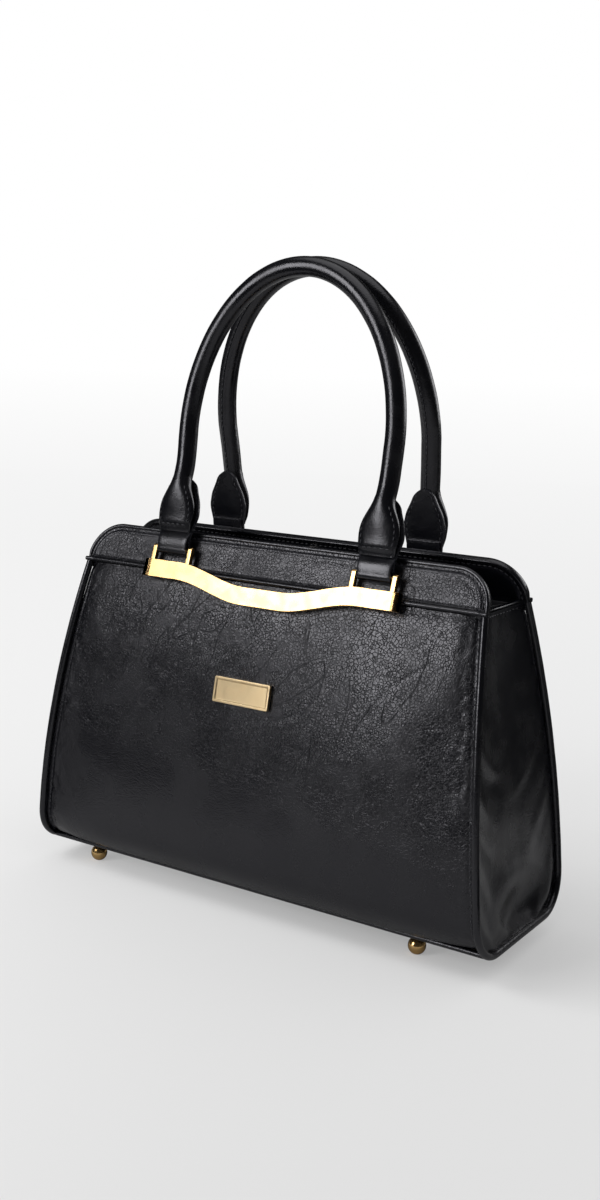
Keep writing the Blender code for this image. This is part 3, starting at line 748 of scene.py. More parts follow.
    @staticmethod
    def move(piece: Piece, matrix: Matrix) -> None:
        """Moves a piece within its mesh, so that its object stays at the origin."""
        piece.data.transform(matrix)
        piece.data.update()


# Finishes


@dataclass(frozen=True)
class Level:
    """A value that runs between nodes. Sums and products of it are nodes too."""

    nodes: "Nodes"
    socket: bpy.types.NodeSocket

    def __add__(self, other: "Level | float") -> "Level":
        """The sum."""
        return self.nodes.math("ADD", self, other)

    def __sub__(self, other: "Level | float") -> "Level":
        """The difference."""
        return self.nodes.math("SUBTRACT", self, other)

    def __mul__(self, other: "Level | float") -> "Level":
        """The product."""
        return self.nodes.math("MULTIPLY", self, other)

    def __truediv__(self, other: "Level | float") -> "Level":
        """The quotient."""
        return self.nodes.math("DIVIDE", self, other)

    def __abs__(self) -> "Level":
        """The size without its sign."""
        return self.nodes.math("ABSOLUTE", self, 0.0)

    def most(self, other: "Level | float") -> "Level":
        """The larger of two."""
        return self.nodes.math("MAXIMUM", self, other)

    def least(self, other: "Level | float") -> "Level":
        """The smaller of two."""
        return self.nodes.math("MINIMUM", self, other)

    def ranged(self, low: float, high: float, first: float = 0.0, last: float = 1.0) -> "Level":
        """The value moved softly from the range of low to high to that of first to last."""
        values = {"Value": self, "From Min": low, "From Max": high, "To Min": first, "To Max": last}
        return self.nodes.level("MapRange", "Result", values, interpolation_type="SMOOTHSTEP")


class Nodes:
    """A tree of nodes, laid down one by one."""

    def __init__(self, tree: bpy.types.NodeTree) -> None:
        """Takes the tree."""
        self.tree = tree

    def add(self, kind: str, values: dict[str | int, object], **settings: object) -> bpy.types.Node:
        """Adds a node.

        Args:
            kind: The node's type, without the word that all types begin with.
            values: Socket values or levels, by socket name or number.
            settings: The node's own settings.

        Returns:
            The node.
        """
        node = self.tree.nodes.new("ShaderNode" + kind)
        for key, setting in settings.items():
            setattr(node, key, setting)
        for key, value in values.items():
            self.feed(node.inputs[key], value)
        return node

    def level(
        self, kind: str, out: str | int = 0, values: dict[str | int, object] | None = None, **settings: object
    ) -> Level:
        """Adds a node and gives the level at one of its outputs.

        Args:
            kind: The node's type.
            out: The output's name or number.
            values: Socket values or levels, by socket name or number.
            settings: The node's own settings.

        Returns:
            The level.
        """
        return Level(self, self.add(kind, values or {}, **settings).outputs[out])

    def feed(self, socket: bpy.types.NodeSocket, value: object) -> None:
        """Links a level to a socket, or sets the socket to a value."""
        if isinstance(value, Level):
            self.tree.links.new(value.socket, socket)
        else:
            socket.default_value = value

    def math(self, operation: str, first: Level | float, second: Level | float) -> Level:
        """Two values put together."""
        return self.level("Math", 0, {0: first, 1: second}, operation=operation)

    def vector(self, operation: str, first: object, second: object, out: str | int = 0) -> Level:
        """Two vectors put together."""
        return self.level("VectorMath", out, {0: first, 1: second}, operation=operation)

    def ray(self, kind: str) -> Level:
        """Whether the ray that looks is of a kind."""
        return self.level("LightPath", f"Is {kind} Ray")

    def glow(self, strength: float) -> Level:
        """White light of a strength."""
        return self.level("Emission", 0, {"Color": (*WHITE, 1.0), "Strength": strength})

    def mix(self, share: Level | float, first: Level, second: Level) -> Level:
        """A shader between two, by a share."""
        return self.level("MixShader", 0, {0: share, 1: first, 2: second})


class NodeSheet(Nodes):
    """A material's nodes."""

    def __init__(self, name: str, colour: Colour, roughness: float, metallic: float = 0.0) -> None:
        """Starts a material from its plain values."""
        self.material = bpy.data.materials.new(name)
        self.material.use_nodes = True
        self.material.diffuse_color = (*colour, 1.0)
        super().__init__(self.material.node_tree)
        self.shader = self.tree.nodes["Principled BSDF"]
        self.set(Base_Color=(*colour, 1.0), Roughness=roughness, Metallic=metallic)

    def set(self, **values: object) -> None:
        """Feeds the shader's own sockets; underscores stand for spaces."""
        for key, value in values.items():
            self.feed(self.shader.inputs[key.replace("_", " ")], value)

    def surface(self, shader: Level) -> None:
        """Makes a shader the one that shows."""
        output = next(node for node in self.tree.nodes if node.type == "OUTPUT_MATERIAL")
        self.feed(output.inputs["Surface"], shader)

    def place(self, uv: bool = False) -> Level:
        """The coordinates of the piece in metres, or those of its flat cut."""
        return self.level("TexCoord", "UV" if uv else "Object")

    def stretched(self, place: Level, turn: Colour, scale: Colour) -> Level:
        """Coordinates turned, and stretched by a scale along each axis."""
        values = {"Vector": place, "Rotation": turn, "Scale": scale}
        return self.level("Mapping", "Vector", values, vector_type="TEXTURE")

    def noise(self, place: Level, size: float, detail: float = 2.0, out: str = "Fac") -> Level:
        """Chance variation with features of a size in metres."""
        return self.level("TexNoise", out, {"Vector": place, "Scale": 1 / size, "Detail": detail})

    def cells(self, place: Level, size: float, feature: str = "F1") -> Level:
        """A pattern of cells of a size in metres."""
        return self.level("TexVoronoi", "Distance", {"Vector": place, "Scale": 1 / size}, feature=feature)

    def warped(self, place: Level, size: float, reach: float) -> Level:
        """Coordinates pushed about by chance, so that a pattern isn't regular.

        Args:
            place: The coordinates.
            size: The size of the pushes' features.
            reach: How far they push.

        Returns:
            The pushed coordinates.
        """
        push = self.vector("SUBTRACT", self.noise(place, size, 2.0, "Color"), (0.5, 0.5, 0.5))
        scaled = self.level("VectorMath", 0, {0: push, "Scale": reach}, operation="SCALE")
        return self.vector("ADD", place, scaled)

    def blend(self, share: Level, first: Colour, second: Colour) -> Level:
        """A colour between two, by a share."""
        values = {0: share, 6: (*first, 1.0), 7: (*second, 1.0)}
        return self.level("Mix", 2, values, data_type="RGBA")

    def mark(self, name: str) -> Level:
        """How rubbed or creased the piece is, from its own attribute."""
        return self.level("Attribute", "Fac", attribute_name=name)

    def lines(self, place: Level, size: float, width: float, detail: float = 1.0) -> Level:
        """Thin wandering lines, 1 on the line and 0 beside it."""
        return abs(self.noise(place, size, detail) - 0.5).ranged(0.0, width, 1.0, 0.0)

    def relief(self, height: Level, distance: float) -> None:
        """Feeds a height map to the shader's normal."""
        values = {"Height": height, "Distance": distance, "Strength": 1.0}
        self.set(Normal=self.level("Bump", "Normal", values))


def shade(colour: Colour, *shares: float) -> Colour:
    """A colour with each channel scaled by its share."""
    return tuple(channel * share for channel, share in zip(colour, shares))


@dataclass(frozen=True)
class Leather:
    """What the black leathers share."""

    name: str
    colour: Colour
    roughness: float
    depth: float
    rubbed: Colour = (0.014, 0.014, 0.018)
    pebble_warp: tuple[float, float] = (0.003, 0.0008)
    gloss_range: tuple[float, float] = (0.3, 0.7)
    gloss_drop: float = 0.05
    specular: float = 0.70
    specular_tint: Colour = (0.95, 0.94, 1.0)

    def gloss(self, sheet: NodeSheet, size: float, rise: float) -> Level:
        """Uneven roughness in patches of a size, from a little below the plain one to a rise above it."""
        patches = sheet.noise(sheet.place(), size, 2.0)
        return patches.ranged(*self.gloss_range, self.roughness - self.gloss_drop, self.roughness + rise)

    def finished(self, sheet: NodeSheet, height: Level, roughness: Level) -> bpy.types.Material:
        """Adds the relief, the roughness and the rubbed edges, and gives the material."""
        sheet.relief(height, self.depth)
        tint = sheet.blend(sheet.mark("rub"), self.colour, self.rubbed)
        sheet.set(Roughness=roughness, Base_Color=tint)
        sheet.set(Specular_IOR_Level=self.specular, Specular_Tint=(*self.specular_tint, 1.0))
        return sheet.material


@dataclass(frozen=True)
class GrainedLeather(Leather):
    """The creased, pebbled leather of the panels and yokes."""

    name: str = "grained_leather_black"
    colour: Colour = (0.0022, 0.0023, 0.0036)
    roughness: float = 0.25
    depth: float = 0.00026
    pebble: float = 0.0010
    crackle: float = 0.0020
    crackle_warps: tuple[tuple[float, float], ...] = ((0.006, 0.0034), (0.0016, 0.0009))
    crackle_width: float = 0.10
    crease: float = 0.030
    crease_warp: tuple[float, float] = (0.010, 0.0020)
    crease_stretch: Colour = (4.0, 1.0, 1.0)
    pebble_share: float = -0.34
    crackle_share: float = -0.46
    crease_share: float = -0.62
    roll_share: float = 0.75
    deep_roughness: float = 0.12

    def wander(self, sheet: NodeSheet, lean: float, size: float, width: float) -> Level:
        """Long creases that lean by an angle in degrees."""
        place = sheet.warped(sheet.place(), *self.crease_warp)
        turned = sheet.stretched(place, (0.0, math.radians(lean), 0.0), self.crease_stretch)
        return sheet.lines(turned, size, width)

    def material(self) -> bpy.types.Material:
        """The finish as a material."""
        sheet = NodeSheet(self.name, self.colour, self.roughness)
        place = sheet.place()
        creased = sheet.mark("crease")
        bent = place
        for size, reach in self.crackle_warps:
            bent = sheet.warped(bent, size, reach)
        net = sheet.cells(bent, self.crackle, "DISTANCE_TO_EDGE").ranged(0.0, self.crackle_width, 1.0, 0.0)
        net = net * sheet.noise(place, 0.012, 3.0).ranged(0.36, 0.60, 0.55) * creased
        fine = sheet.cells(sheet.warped(place, *self.pebble_warp), self.pebble)
        here = sheet.noise(place, 0.045, 1.0).ranged(0.46, 0.60) * creased.ranged(0.70, 0.95)
        there = sheet.noise(place, 0.036, 1.0).ranged(0.56, 0.44)
        long = self.wander(sheet, -50, self.crease, 0.008) * here
        tall = self.wander(sheet, -82, self.crease * 0.7, 0.009) * there
        lines = long.most(tall) * creased
        rolling = sheet.noise(place, 0.0085, 2.0) * (creased + 0.6)
        height = fine * self.pebble_share + net * self.crackle_share
        height = height + lines * self.crease_share + rolling * self.roll_share
        deep = net.most(lines) * self.deep_roughness
        return self.finished(sheet, height, self.gloss(sheet, 0.030, 0.07) + deep)


@dataclass(frozen=True)
class SmoothLeather(Leather):
    """The plainer, glossier leather of gussets, pipings, handles and facings."""

    name: str = "smooth_leather_black"
    colour: Colour = (0.0018, 0.0020, 0.0032)
    roughness: float = 0.24
    depth: float = 0.00008
    pore: float = 0.0009
    pore_share: float = -0.6
    soft: float = 0.0060
    soft_share: float = 1.4

    def material(self) -> bpy.types.Material:
        """The finish as a material."""
        sheet = NodeSheet(self.name, self.colour, self.roughness)
        fine = sheet.cells(sheet.warped(sheet.place(), *self.pebble_warp), self.pore)
        soft = sheet.noise(sheet.place(), self.soft, 3.0)
        height = fine * self.pore_share + soft * self.soft_share
        return self.finished(sheet, height, self.gloss(sheet, 0.018, 0.06))


@dataclass(frozen=True)
class GiltMetal:
    """Cast metal plated in pale gold."""

    name: str
    colour: Colour
    roughness: float
    smear: float = 0.06
    wave: float = 0.012
    wave_share: float = 0.6
    depth: float = 0.00003
    deep_shares: Colour = (0.86, 0.80, 0.72)

    def material(self) -> bpy.types.Material:
        """The finish as a material."""
        sheet = NodeSheet(self.name, self.colour, self.roughness, 1.0)
        wave = sheet.noise(sheet.place(), self.wave, 2.0)
        sheet.relief(wave * self.wave_share, self.depth)
        smear = sheet.noise(sheet.place(), 0.006, 3.0)
        deep = shade(self.colour, *self.deep_shares)
        tint = sheet.blend(wave.ranged(0.3, 0.7, 0.0, 0.5), self.colour, deep)
        roughness = smear.ranged(0.35, 0.7, self.roughness, self.roughness + self.smear)
        sheet.set(Roughness=roughness, Base_Color=tint)
        return sheet.material


@dataclass(frozen=True)
class Twill:
    """The woven lining cloth."""

    name: str = "lining_twill"
    colour: Colour = (0.016, 0.016, 0.018)
    raised: Colour = (0.034, 0.034, 0.038)
    pitch: float = 0.0007
    rib_turn: float = math.radians(63)
    waves_per_unit: float = 20.0
    depth: float = 0.00012

    def material(self) -> bpy.types.Material:
        """The finish as a material."""
        sheet = NodeSheet(self.name, self.colour, 0.82)
        place = sheet.place(uv=True)
        scale = 1 / (self.pitch * self.waves_per_unit)
        turned = sheet.stretched(place, (0.0, 0.0, self.rib_turn), (1.0, 1.0, 1.0))
        ribs = sheet.level("TexWave", "Fac", {"Vector": turned, "Scale": scale})
        threads = sheet.level("TexWave", "Fac", {"Vector": place, "Scale": scale}, bands_direction="Y")
        sheet.relief(ribs + threads * 0.5, self.depth)
        tint = sheet.blend(ribs, self.colour, self.raised)
        sheet.set(Base_Color=tint, Sheen_Weight=0.15, Sheen_Roughness=0.4)
        return sheet.material


@dataclass(frozen=True)
class Flecked:
    """A dull stuff with small flecks of a second tone: fibre board or waxed thread."""

    name: str
    colour: Colour
    roughness: float
    fleck: float
    detail: float
    depth: float
    fleck_share: float
    fleck_range: tuple[float, float]
    turn: Colour = (0.0, 0.0, 0.0)
    stretch: Colour = (1.0, 1.0, 1.0)

    def material(self) -> bpy.types.Material:
        """The finish as a material."""
        sheet = NodeSheet(self.name, self.colour, self.roughness)
        place = sheet.stretched(sheet.place(), self.turn, self.stretch)
        flecks = sheet.noise(place, self.fleck, self.detail)
        sheet.relief(flecks, self.depth)
        second = shade(self.colour, *(self.fleck_share,) * 3)
        sheet.set(Base_Color=sheet.blend(flecks.ranged(*self.fleck_range), self.colour, second))
        return sheet.material


FIBRE_BOARD = Flecked(
    "fibre_board_grey", (0.20, 0.18, 0.15), 0.9, 0.0008, 4.0, 0.0002, 0.6, (0.35, 0.65),
    turn=(0.3, 0.2, 0.5), stretch=(1.0, 5.0, 1.0),
)
THREAD = Flecked("waxed_thread_black", (0.016, 0.016, 0.019), 0.30, 0.00025, 2.0, 0.00005, 2.2, (0.4, 0.6))


@dataclass(frozen=True)
class Finish:
    """A material and the record's slot that it comes from."""

    material: bpy.types.Material
    slot: Slot


class Workroom:
    """Every finish in use, and the way a made piece is entered on the bag."""

    def __init__(self, nodes: dict[str, Piece]) -> None:
        """Makes the finishes.

        Args:
            nodes: The solids, by name.
        """
        self.nodes = nodes
        self.grain = Finish(GrainedLeather().material(), Slot.GRAIN)
        self.smooth = Finish(SmoothLeather().material(), Slot.SMOOTH)
        self.gold = Finish(GiltMetal("pale_gold_satin", (0.87, 0.58, 0.26), 0.24).material(), Slot.GOLD)
        self.plate = Finish(GiltMetal("pale_gold_brushed", (0.90, 0.70, 0.42), 0.30).material(), Slot.GOLD)
        polished = GiltMetal("deep_gold_polished", (0.90, 0.60, 0.26), 0.13)
        self.polished = Finish(polished.material(), Slot.GOLD)
        self.steel = Finish(GiltMetal("plated_steel_satin", (0.62, 0.60, 0.56), 0.30).material(), Slot.STEEL)
        self.lining = Finish(Twill().material(), Slot.LINING)
        self.board = Finish(FIBRE_BOARD.material(), Slot.BOARD)
        self.thread = Finish(THREAD.material(), Slot.SMOOTH)

    def enter(
        self, piece: Piece, finish: Finish, half: Half = Half.FRONT, *nodes: str, body: Body = Body.BAG
    ) -> None:
        """Turns a piece to its half, gives it its finish and lets it ride on its body.

        Args:
            piece: The made piece, in its place on the front or right.
            finish: Its finish.
            half: The half or end that it belongs to.
            nodes: The solids that it replaces.
            body: The body that carries it.
        """
        Bench.move(piece, half.turn)
        piece.data.materials.clear()
        piece.data.materials.append(finish.material)
        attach(piece, body.value)
        if nodes:
            piece.name = piece.data.name = nodes[0] + "_" + finish.slot.stuff
            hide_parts(*nodes)
        LOG.info("%s: %d faces", piece.name, len(piece.data.polygons))

    def keep(self, node: str, finish: Finish) -> None:
        """Leaves a solid showing, with a better material."""
        for slot in self.nodes[node].material_slots:
            slot.material = finish.material
        LOG.info("%s: kept", node)


# Stitching


@dataclass(frozen=True)
class Stitching:
    """Rows of stitches, each stitch a short bent grain of thread."""

    pitch: float = 0.0034
    length: float = 0.0026
    thickness: float = 0.00074
    seed: int = 5
    sway: float = 0.05
    lift_share: float = 0.12

    def stitch(self) -> tuple[np.ndarray, list[tuple[int, ...]]]:
        """One stitch along X with its outside up Z, as points and faces."""
        Bench.clear()
        bpy.ops.mesh.primitive_uv_sphere_add(segments=6, ring_count=6, radius=0.5)
        piece = Bench.named("stitch")
        Bench.edit(
            piece,
            lambda: bpy.ops.transform.rotate(
                value=math.pi / 2, orient_axis="Y", center_override=(0, 0, 0)
            ),
            lambda: bpy.ops.transform.resize(value=(self.length, self.thickness, self.thickness)),
        )
        points = np.array([vertex.co for vertex in piece.data.vertices])
        points[:, 2] -= (points[:, 0] / self.length) ** 2 * self.thickness
        faces = [tuple(face.vertices) for face in piece.data.polygons]
        bpy.data.objects.remove(piece)
        return points, faces

    def rows(self, name: str, tracks: Sequence[Track]) -> Piece:
        """Sews along tracks.

        Args:
            name: The piece's name.
            tracks: Rows of points on the leather, each with the leather's outward direction.

        Returns:
            One piece that holds every stitch.
        """
        points, faces = self.stitch()
        chance = np.random.default_rng(self.seed)
        all_points: list[np.ndarray] = []
        all_faces: list[tuple[int, ...]] = []
        for track in tracks:
            for centre, along, out in self.places(track):
                lean = chance.normal(0.0, self.sway)
                along = (along + out.cross(along) * lean).normalized()
                side = out.cross(along)
                turn = np.array([along, side, out])
                shift = len(all_points) * len(points)
                lifted = centre + out * self.thickness * self.lift_share
                all_points.append(points @ turn + np.array(lifted))
                all_faces += [tuple(index + shift for index in face) for face in faces]
        mesh = bpy.data.meshes.new(name)
        mesh.from_pydata(np.concatenate(all_points).tolist(), [], all_faces)
        mesh.shade_smooth()
        piece = bpy.data.objects.new(name, mesh)
        bpy.context.scene.collection.objects.link(piece)
        return piece

    def places(self, track: Track) -> list[tuple[Vector, Vector, Vector]]:
        """Where each stitch of a row lies, which way it runs and which way is out."""
        points = np.array([point for point, _ in track])
        outs = np.array([out for _, out in track])
        lengths = travelled(points)
        count = max(int(lengths[-1] / self.pitch), 1)
        found = []
        for step in range(count):
            middle = (step + 0.5) * lengths[-1] / count

            def at(run: float, rows: np.ndarray) -> Vector:
                """The point of a row of points at a run along the track."""
                return Vector([float(np.interp(run, lengths, rows[:, axis])) for axis in range(3)])

            along = at(middle + self.length / 2, points) - at(middle - self.length / 2, points)
            out = at(middle, outs).normalized()
            along = (along - out * along.dot(out)).normalized()
            found.append((at(middle, points), along, out))
        return found


STITCHING = Stitching()


# Body


@dataclass(frozen=True)
class PanelRelief:
    """How sewing, slump and wear raise or hollow the leather of a panel."""

    side_fall: float = 0.0028
    side_fall_width: float = 0.018
    slump_width: float = 0.034
    slump_top: float = 0.118
    slump_fade: float = 0.040
    edge_hollow: Crest = Crest(-0.0005, 0.045)
    seam_hollow: Crest = Crest(-0.0007, 0.0045)
    foot_hollow: Crest = Crest(-0.0005, 0.004)
    stitch_inset: float = 0.0030
    stitch_groove: Crest = Crest(-0.00050, 0.0009)
    swells: tuple[tuple[float, float, float, float, float], ...] = (
        (0.126, 0.104, 0.022, 0.028, -0.0012),
        (0.094, 0.076, 0.026, 0.020, -0.0008),
        (0.138, 0.070, 0.011, 0.018, 0.0008),
        (0.070, 0.150, 0.040, 0.034, 0.0005),
        (-0.120, 0.120, 0.022, 0.040, -0.0004),
    )
    calm_border: float = 0.012
    waves: tuple[Wave, Wave] = (Wave(0.00055, 0.085, 3.1), Wave(0.00022, 0.026, 7.7))
    gather_inset: float = 0.016
    gather: Crest = Crest(1.0, 0.020)
    gather_least: float = 0.35
    gather_patches: Wave = Wave(1.0, 0.05, 1.3)
    pull_slant: tuple[float, float] = (0.80, 0.60)
    pull_stretch: float = 0.30
    pulls: Wave = Wave(0.00042, 0.0085, 5.2)
    pucker_inset: float = 0.006
    pucker: Crest = Crest(1.0, 0.006)
    pucker_stretch: float = 0.25
    puckers: Wave = Wave(0.00050, 0.0040, 9.4)
    sewn_border: float = 0.004
    crease_depth: float = 0.00042
    crease_width: float = 0.0011
    lip_share: float = 0.5
    lip_width: float = 0.0028
    lip_shift: tuple[float, float] = (0.0018, -0.0014)
    creases: tuple[tuple[tuple[float, float], ...], ...] = (
        ((0.082, 0.125), (0.084, 0.134), (0.093, 0.145), (0.104, 0.153), (0.116, 0.162)),
        ((0.089, 0.142), (0.090, 0.149), (0.097, 0.159)),
        ((0.100, 0.166), (0.110, 0.171), (0.124, 0.173)),
        ((0.056, 0.180), (0.048, 0.166), (0.036, 0.152)),
        ((-0.030, 0.140), (-0.012, 0.152), (0.004, 0.172)),
        ((-0.098, 0.130), (-0.088, 0.147), (-0.084, 0.168)),
        ((0.020, 0.112), (0.036, 0.120), (0.044, 0.134)),
    )

    def sewing(self, across: float, run: float, edge: float, left: float) -> float:
        """The fall towards the sewn edges, the swells and the groove of the stitches.

        Args:
            across: Distance from the middle.
            run: Distance up from the base piping, along the wall.
            edge: Distance from the panel's side.
            left: Distance down from the seam, along the wall.

        Returns:
            The relief.
        """
        low = 1 - eased((run - self.slump_top) / self.slump_fade)
        width = self.side_fall_width + self.slump_width * low
        fall = self.edge_hollow.at(edge) - self.side_fall * max(1 - edge / width, 0.0) ** 2
        for x, up, half_x, half_up, proud in self.swells:
            fall += proud * bell(across - x, half_x) * bell(run - up, half_up)
        fall += self.seam_hollow.at(left) + self.foot_hollow.at(run)
        return fall + self.stitch_groove.at(edge - self.stitch_inset)

    def wear(self, across: float, run: float, edge: float, left: float) -> float:
        """The waves, pulls, puckers and creases, by the same places as the sewing.

        Args:
            across: Distance from the middle.
            run: Distance up from the base piping, along the wall.
            edge: Distance from the panel's side.
            left: Distance down from the seam, along the wall.

        Returns:
            The relief.
        """
        calm = math.prod(eased(distance / self.calm_border) for distance in (edge, run, left))
        waves = sum(wave.at(across, run) for wave in self.waves)
        patches = eased(0.5 + self.gather_patches.at(across, run))
        gather = self.gather.at(edge - self.gather_inset)
        gather *= self.gather_least + (1 - self.gather_least) * patches
        cos, sin = self.pull_slant
        slant = (across * cos + run * sin, (run * cos - across * sin) * self.pull_stretch)
        pulls = gather * self.pulls.at(*slant)
        puckers = self.pucker.at(edge - self.pucker_inset)
        puckers *= self.puckers.at(abs(across) * self.pucker_stretch, run, across)
        x, up = self.lip_shift
        drawn = max(fold_line(line, across, run, self.crease_width) for line in self.creases)
        lifted = max(fold_line(line, across - x, run - up, self.lip_width) for line in self.creases)
        folds = self.crease_depth * (self.lip_share * lifted - drawn)
        return calm * (waves + folds) + eased(edge / self.sewn_border) * (pulls + puckers)


@dataclass
class Wall:
    """One half of the bag: its panel, yoke, facing, binding, welt, base piping and their stitching."""

    half: Half
    room: Workroom
    columns: int = 190
    rows: int = 124
    relief: PanelRelief = PanelRelief()
    board_margin: float = 0.0040
    board_thickness: float = 0.0014
    edge_tuck: float = 0.0012
    fan_share: float = 0.86
    stitch_lean: float = 0.12
    binding_height: float = 0.0026
    binding_proud: float = 0.0008
    ridge_inset: float = 0.0052
    ridge: Crest = Crest(0.00045, 0.0011)
    rim_stitch_inset: float = 0.0038
    rim_groove: Crest = Crest(-0.00050, 0.0007)
    binding_groove: Crest = Crest(-0.0003, 0.0009)
    seam_stitch_rise: float = 0.0032
    seam_groove: Crest = Crest(-0.00050, 0.0008)
    seam_lip_drop: float = 0.0013
    seam_lip: Crest = Crest(0.0003, 0.0008)
    yoke_waves: tuple[Wave, Wave] = (Wave(0.00035, 0.045, 4.4), Wave(0.00012, 0.014, 8.8))
    yoke_pulls: Wave = Wave(0.00014, 0.006, 6.1)
    yoke_pull_stretch: float = 0.35
    yoke_crease_mark: float = 0.70
    facing_inset: float = 0.0025
    facing_drop: float = 0.0030
    facing_tuck: float = 0.0030
    facing_groove: Crest = Crest(0.0003, 0.0008)
    facing_waves: Wave = Wave(0.0002, 0.03, 2.2)
    end_rub: Crest = Crest(1.0, 0.0025)
    foot_rub: Crest = Crest(0.6, 0.006)
    welt_wave: Wave = Wave(0.05, 0.012, 3.0)
    piping_wave: Wave = Wave(0.04, 0.015, 6.0)

    def name(self, piece: str) -> str:
        """The full name of a piece of this half."""
        return self.half.value + "_" + piece

    def enter(self, piece: Piece, finish: Finish, *nodes: str) -> None:
        """Enters a piece of this half on the bag."""
        self.room.enter(piece, finish, self.half, *nodes)

    def sew(self, name: str, tracks: Sequence[Track]) -> None:
        """Sews along tracks of this half."""
        self.enter(STITCHING.rows(self.name(name), tracks), self.room.thread)

    def reach(self, height: float) -> float:
        """Half the panel's width at a height, with what the piping covers."""
        return FORM.half_width(height) - FORM.edge_inset + self.edge_tuck

    def on_panel(self, point: TrackPoint, x: float, length: float, behind: float = 0.0) -> Vector:
        """A point on the panel's worn leather.

        Args:
            point: The point up the wall.
            x: Distance from the middle.
            length: The wall's whole run.
            behind: How far the point lies behind the leather's face.

        Returns:
            The point.
        """
        place = (x, point.run, self.reach(point.height) - abs(x), length - point.run)
        depth, height = point.proud(self.relief.sewing(*place) + self.relief.wear(*place) - behind)
        return Vector((x, -depth, height))

    def make_panel(self) -> None:
        """The large creased panel, drawn down along its piped edges."""
        start = FORM.base_piping_angle
        start += (FORM.base_piping_radius + FORM.gap) / (FORM.corner_radius - FORM.base_piping_radius)
        track = FORM.track(FORM.face_inset, start, FORM.seam_height - FORM.seam_half_gap, self.rows)
        length = track[-1].run
        last = len(track) - 1
        fan = math.pi / 2 * self.fan_share

        def spot(across: float, up: float) -> tuple[float, float, TrackPoint]:
            """The distance from the middle, its limit and the point up the wall."""
            point = track[round(up * last)]
            reach = self.reach(point.height)
            return math.sin(across * fan) / math.sin(fan) * reach, reach, point

        def place(across: float, up: float) -> Vector:
            """The point for a share across and up."""
            x, _, point = spot(across, up)
            return self.on_panel(point, x, length)

        def rub(across: float, up: float) -> float:
            """How rubbed the leather is there."""
            x, reach, point = spot(across, up)
            near = self.end_rub.at(reach - abs(x)) + self.foot_rub.at(point.run)
            patches = abs(ripple(Vector((x, point.run, 0.0)), 0.011, 2.0))
            return min(near * (0.25 + 0.5 * patches), 1.0)

        def crease(across: float, up: float) -> float:
            """How creased the leather is there."""
            x, _, point = spot(across, up)
            high = eased((point.run - 0.058 + 0.10 * x) / 0.030)
            corner = 0.9 * bell(x - 0.136, 0.014) * bell(point.run - 0.070, 0.022)
            return 0.12 + 0.88 * min(high + corner, 1.0)

        marks = {"rub": rub, "crease": crease}
        panel = Bench.laid(self.name("panel"), (self.columns, self.rows), place, marks)
        Bench.wall(panel, FORM.leather)
        Bench.smooth(panel)
        self.enter(panel, self.room.grain, self.name("panel"))
        self.make_board(track, length)
        tracks = []
        for side in (-1, 1):
            row = []
            for point in track[3:-4]:
                x = side * (self.reach(point.height) - self.relief.stitch_inset)
                out = Vector((side * self.stitch_lean, -point.normal_depth, point.normal_height)).normalized()
                row.append((self.on_panel(point, x, length), out))
            tracks.append(row)
        self.sew("panel_stitches", tracks)

    def make_board(self, track: list[TrackPoint], length: float) -> None:
        """The stiffening board, bent to the panel that it backs.

        Args:
            track: The panel's points up the wall.
            length: The wall's whole run.
        """
        rows = track[16:-3:2]
        last = len(rows) - 1

        def place(across: float, up: float) -> Vector:
            """The point for a share across and up."""
            point = rows[round(up * last)]
            x = across * (FORM.half_width(point.height) - FORM.edge_inset - self.board_margin)
            return self.on_panel(point, x, length, FORM.leather + FORM.gap)

        board = Bench.laid(self.name("board"), (110, last), place)
        Bench.wall(board, self.board_thickness)
        Bench.smooth(board)
        self.enter(board, self.room.board, self.name("board"))

    def yoke_relief(self, across: float, rise: float) -> float:
        """How far the yoke's leather stands out at a distance from the middle and a rise."""
        inside = FORM.rim_distance(across, rise)
        relief = self.ridge.at(inside - self.ridge_inset) + self.rim_groove.at(inside - self.rim_stitch_inset)
        relief += self.binding_groove.at(inside - self.binding_height)
        relief += self.seam_groove.at(rise - self.seam_stitch_rise)
        relief += self.seam_lip.at(rise - self.seam_stitch_rise + self.seam_lip_drop)
        plain = eased((inside - 0.006) / 0.004) * eased((rise - 0.004) / 0.003)
        waves = sum(wave.at(across, rise) for wave in self.yoke_waves)
        return relief + plain * (waves + self.yoke_pulls.at(across, rise * self.yoke_pull_stretch))

    def facing_relief(self, across: float, rise: float) -> float:
        """How far the facing stands towards the yoke at a distance from the middle and a rise."""
        groove = self.facing_groove.at(FORM.rim_distance(across, rise) - self.rim_stitch_inset)
        return groove - self.facing_tuck * eased(-rise / 0.0025) + self.facing_waves.at(across, rise)

    def yoke_sheet(self, name: str, size: tuple[int, int], inset: float, relief: Rule, foot: float) -> Piece:
        """A sheet with the yoke's outline.

        Args:
            name: The piece's name.
            size: The number of columns and of rows.
            inset: How far its outer face lies inside the wall.
            relief: How far it stands out at a place across and a rise.
            foot: How far its lower edge stands above the seam.

        Returns:
            The sheet, laid but without thickness.
        """
        stand = FORM.yoke_stand()
        margin = self.binding_height + FORM.gap - 0.0012
        top = FORM.yoke_rise - margin

        def spot(across: float, up: float) -> tuple[float, float]:
            """The distance from the middle and the rise."""
            rise = foot + (top - foot) * (1 - (1 - up) ** 2)
            return math.sin(across * math.pi / 2) * FORM.yoke_reach(rise, margin), rise

        def place(across: float, up: float) -> Vector:
            """The point for a share across and up."""
            x, rise = spot(across, up)
            return stand.at(x, rise, relief(x, rise) - inset)

        def rub(across: float, up: float) -> float:
            """How rubbed the leather is there."""
            return 0.35 * bell(FORM.rim_distance(*spot(across, up)) - self.ridge_inset, 0.0012)

        return Bench.laid(name, size, place, {"rub": rub, "crease": lambda across, up: self.yoke_crease_mark})

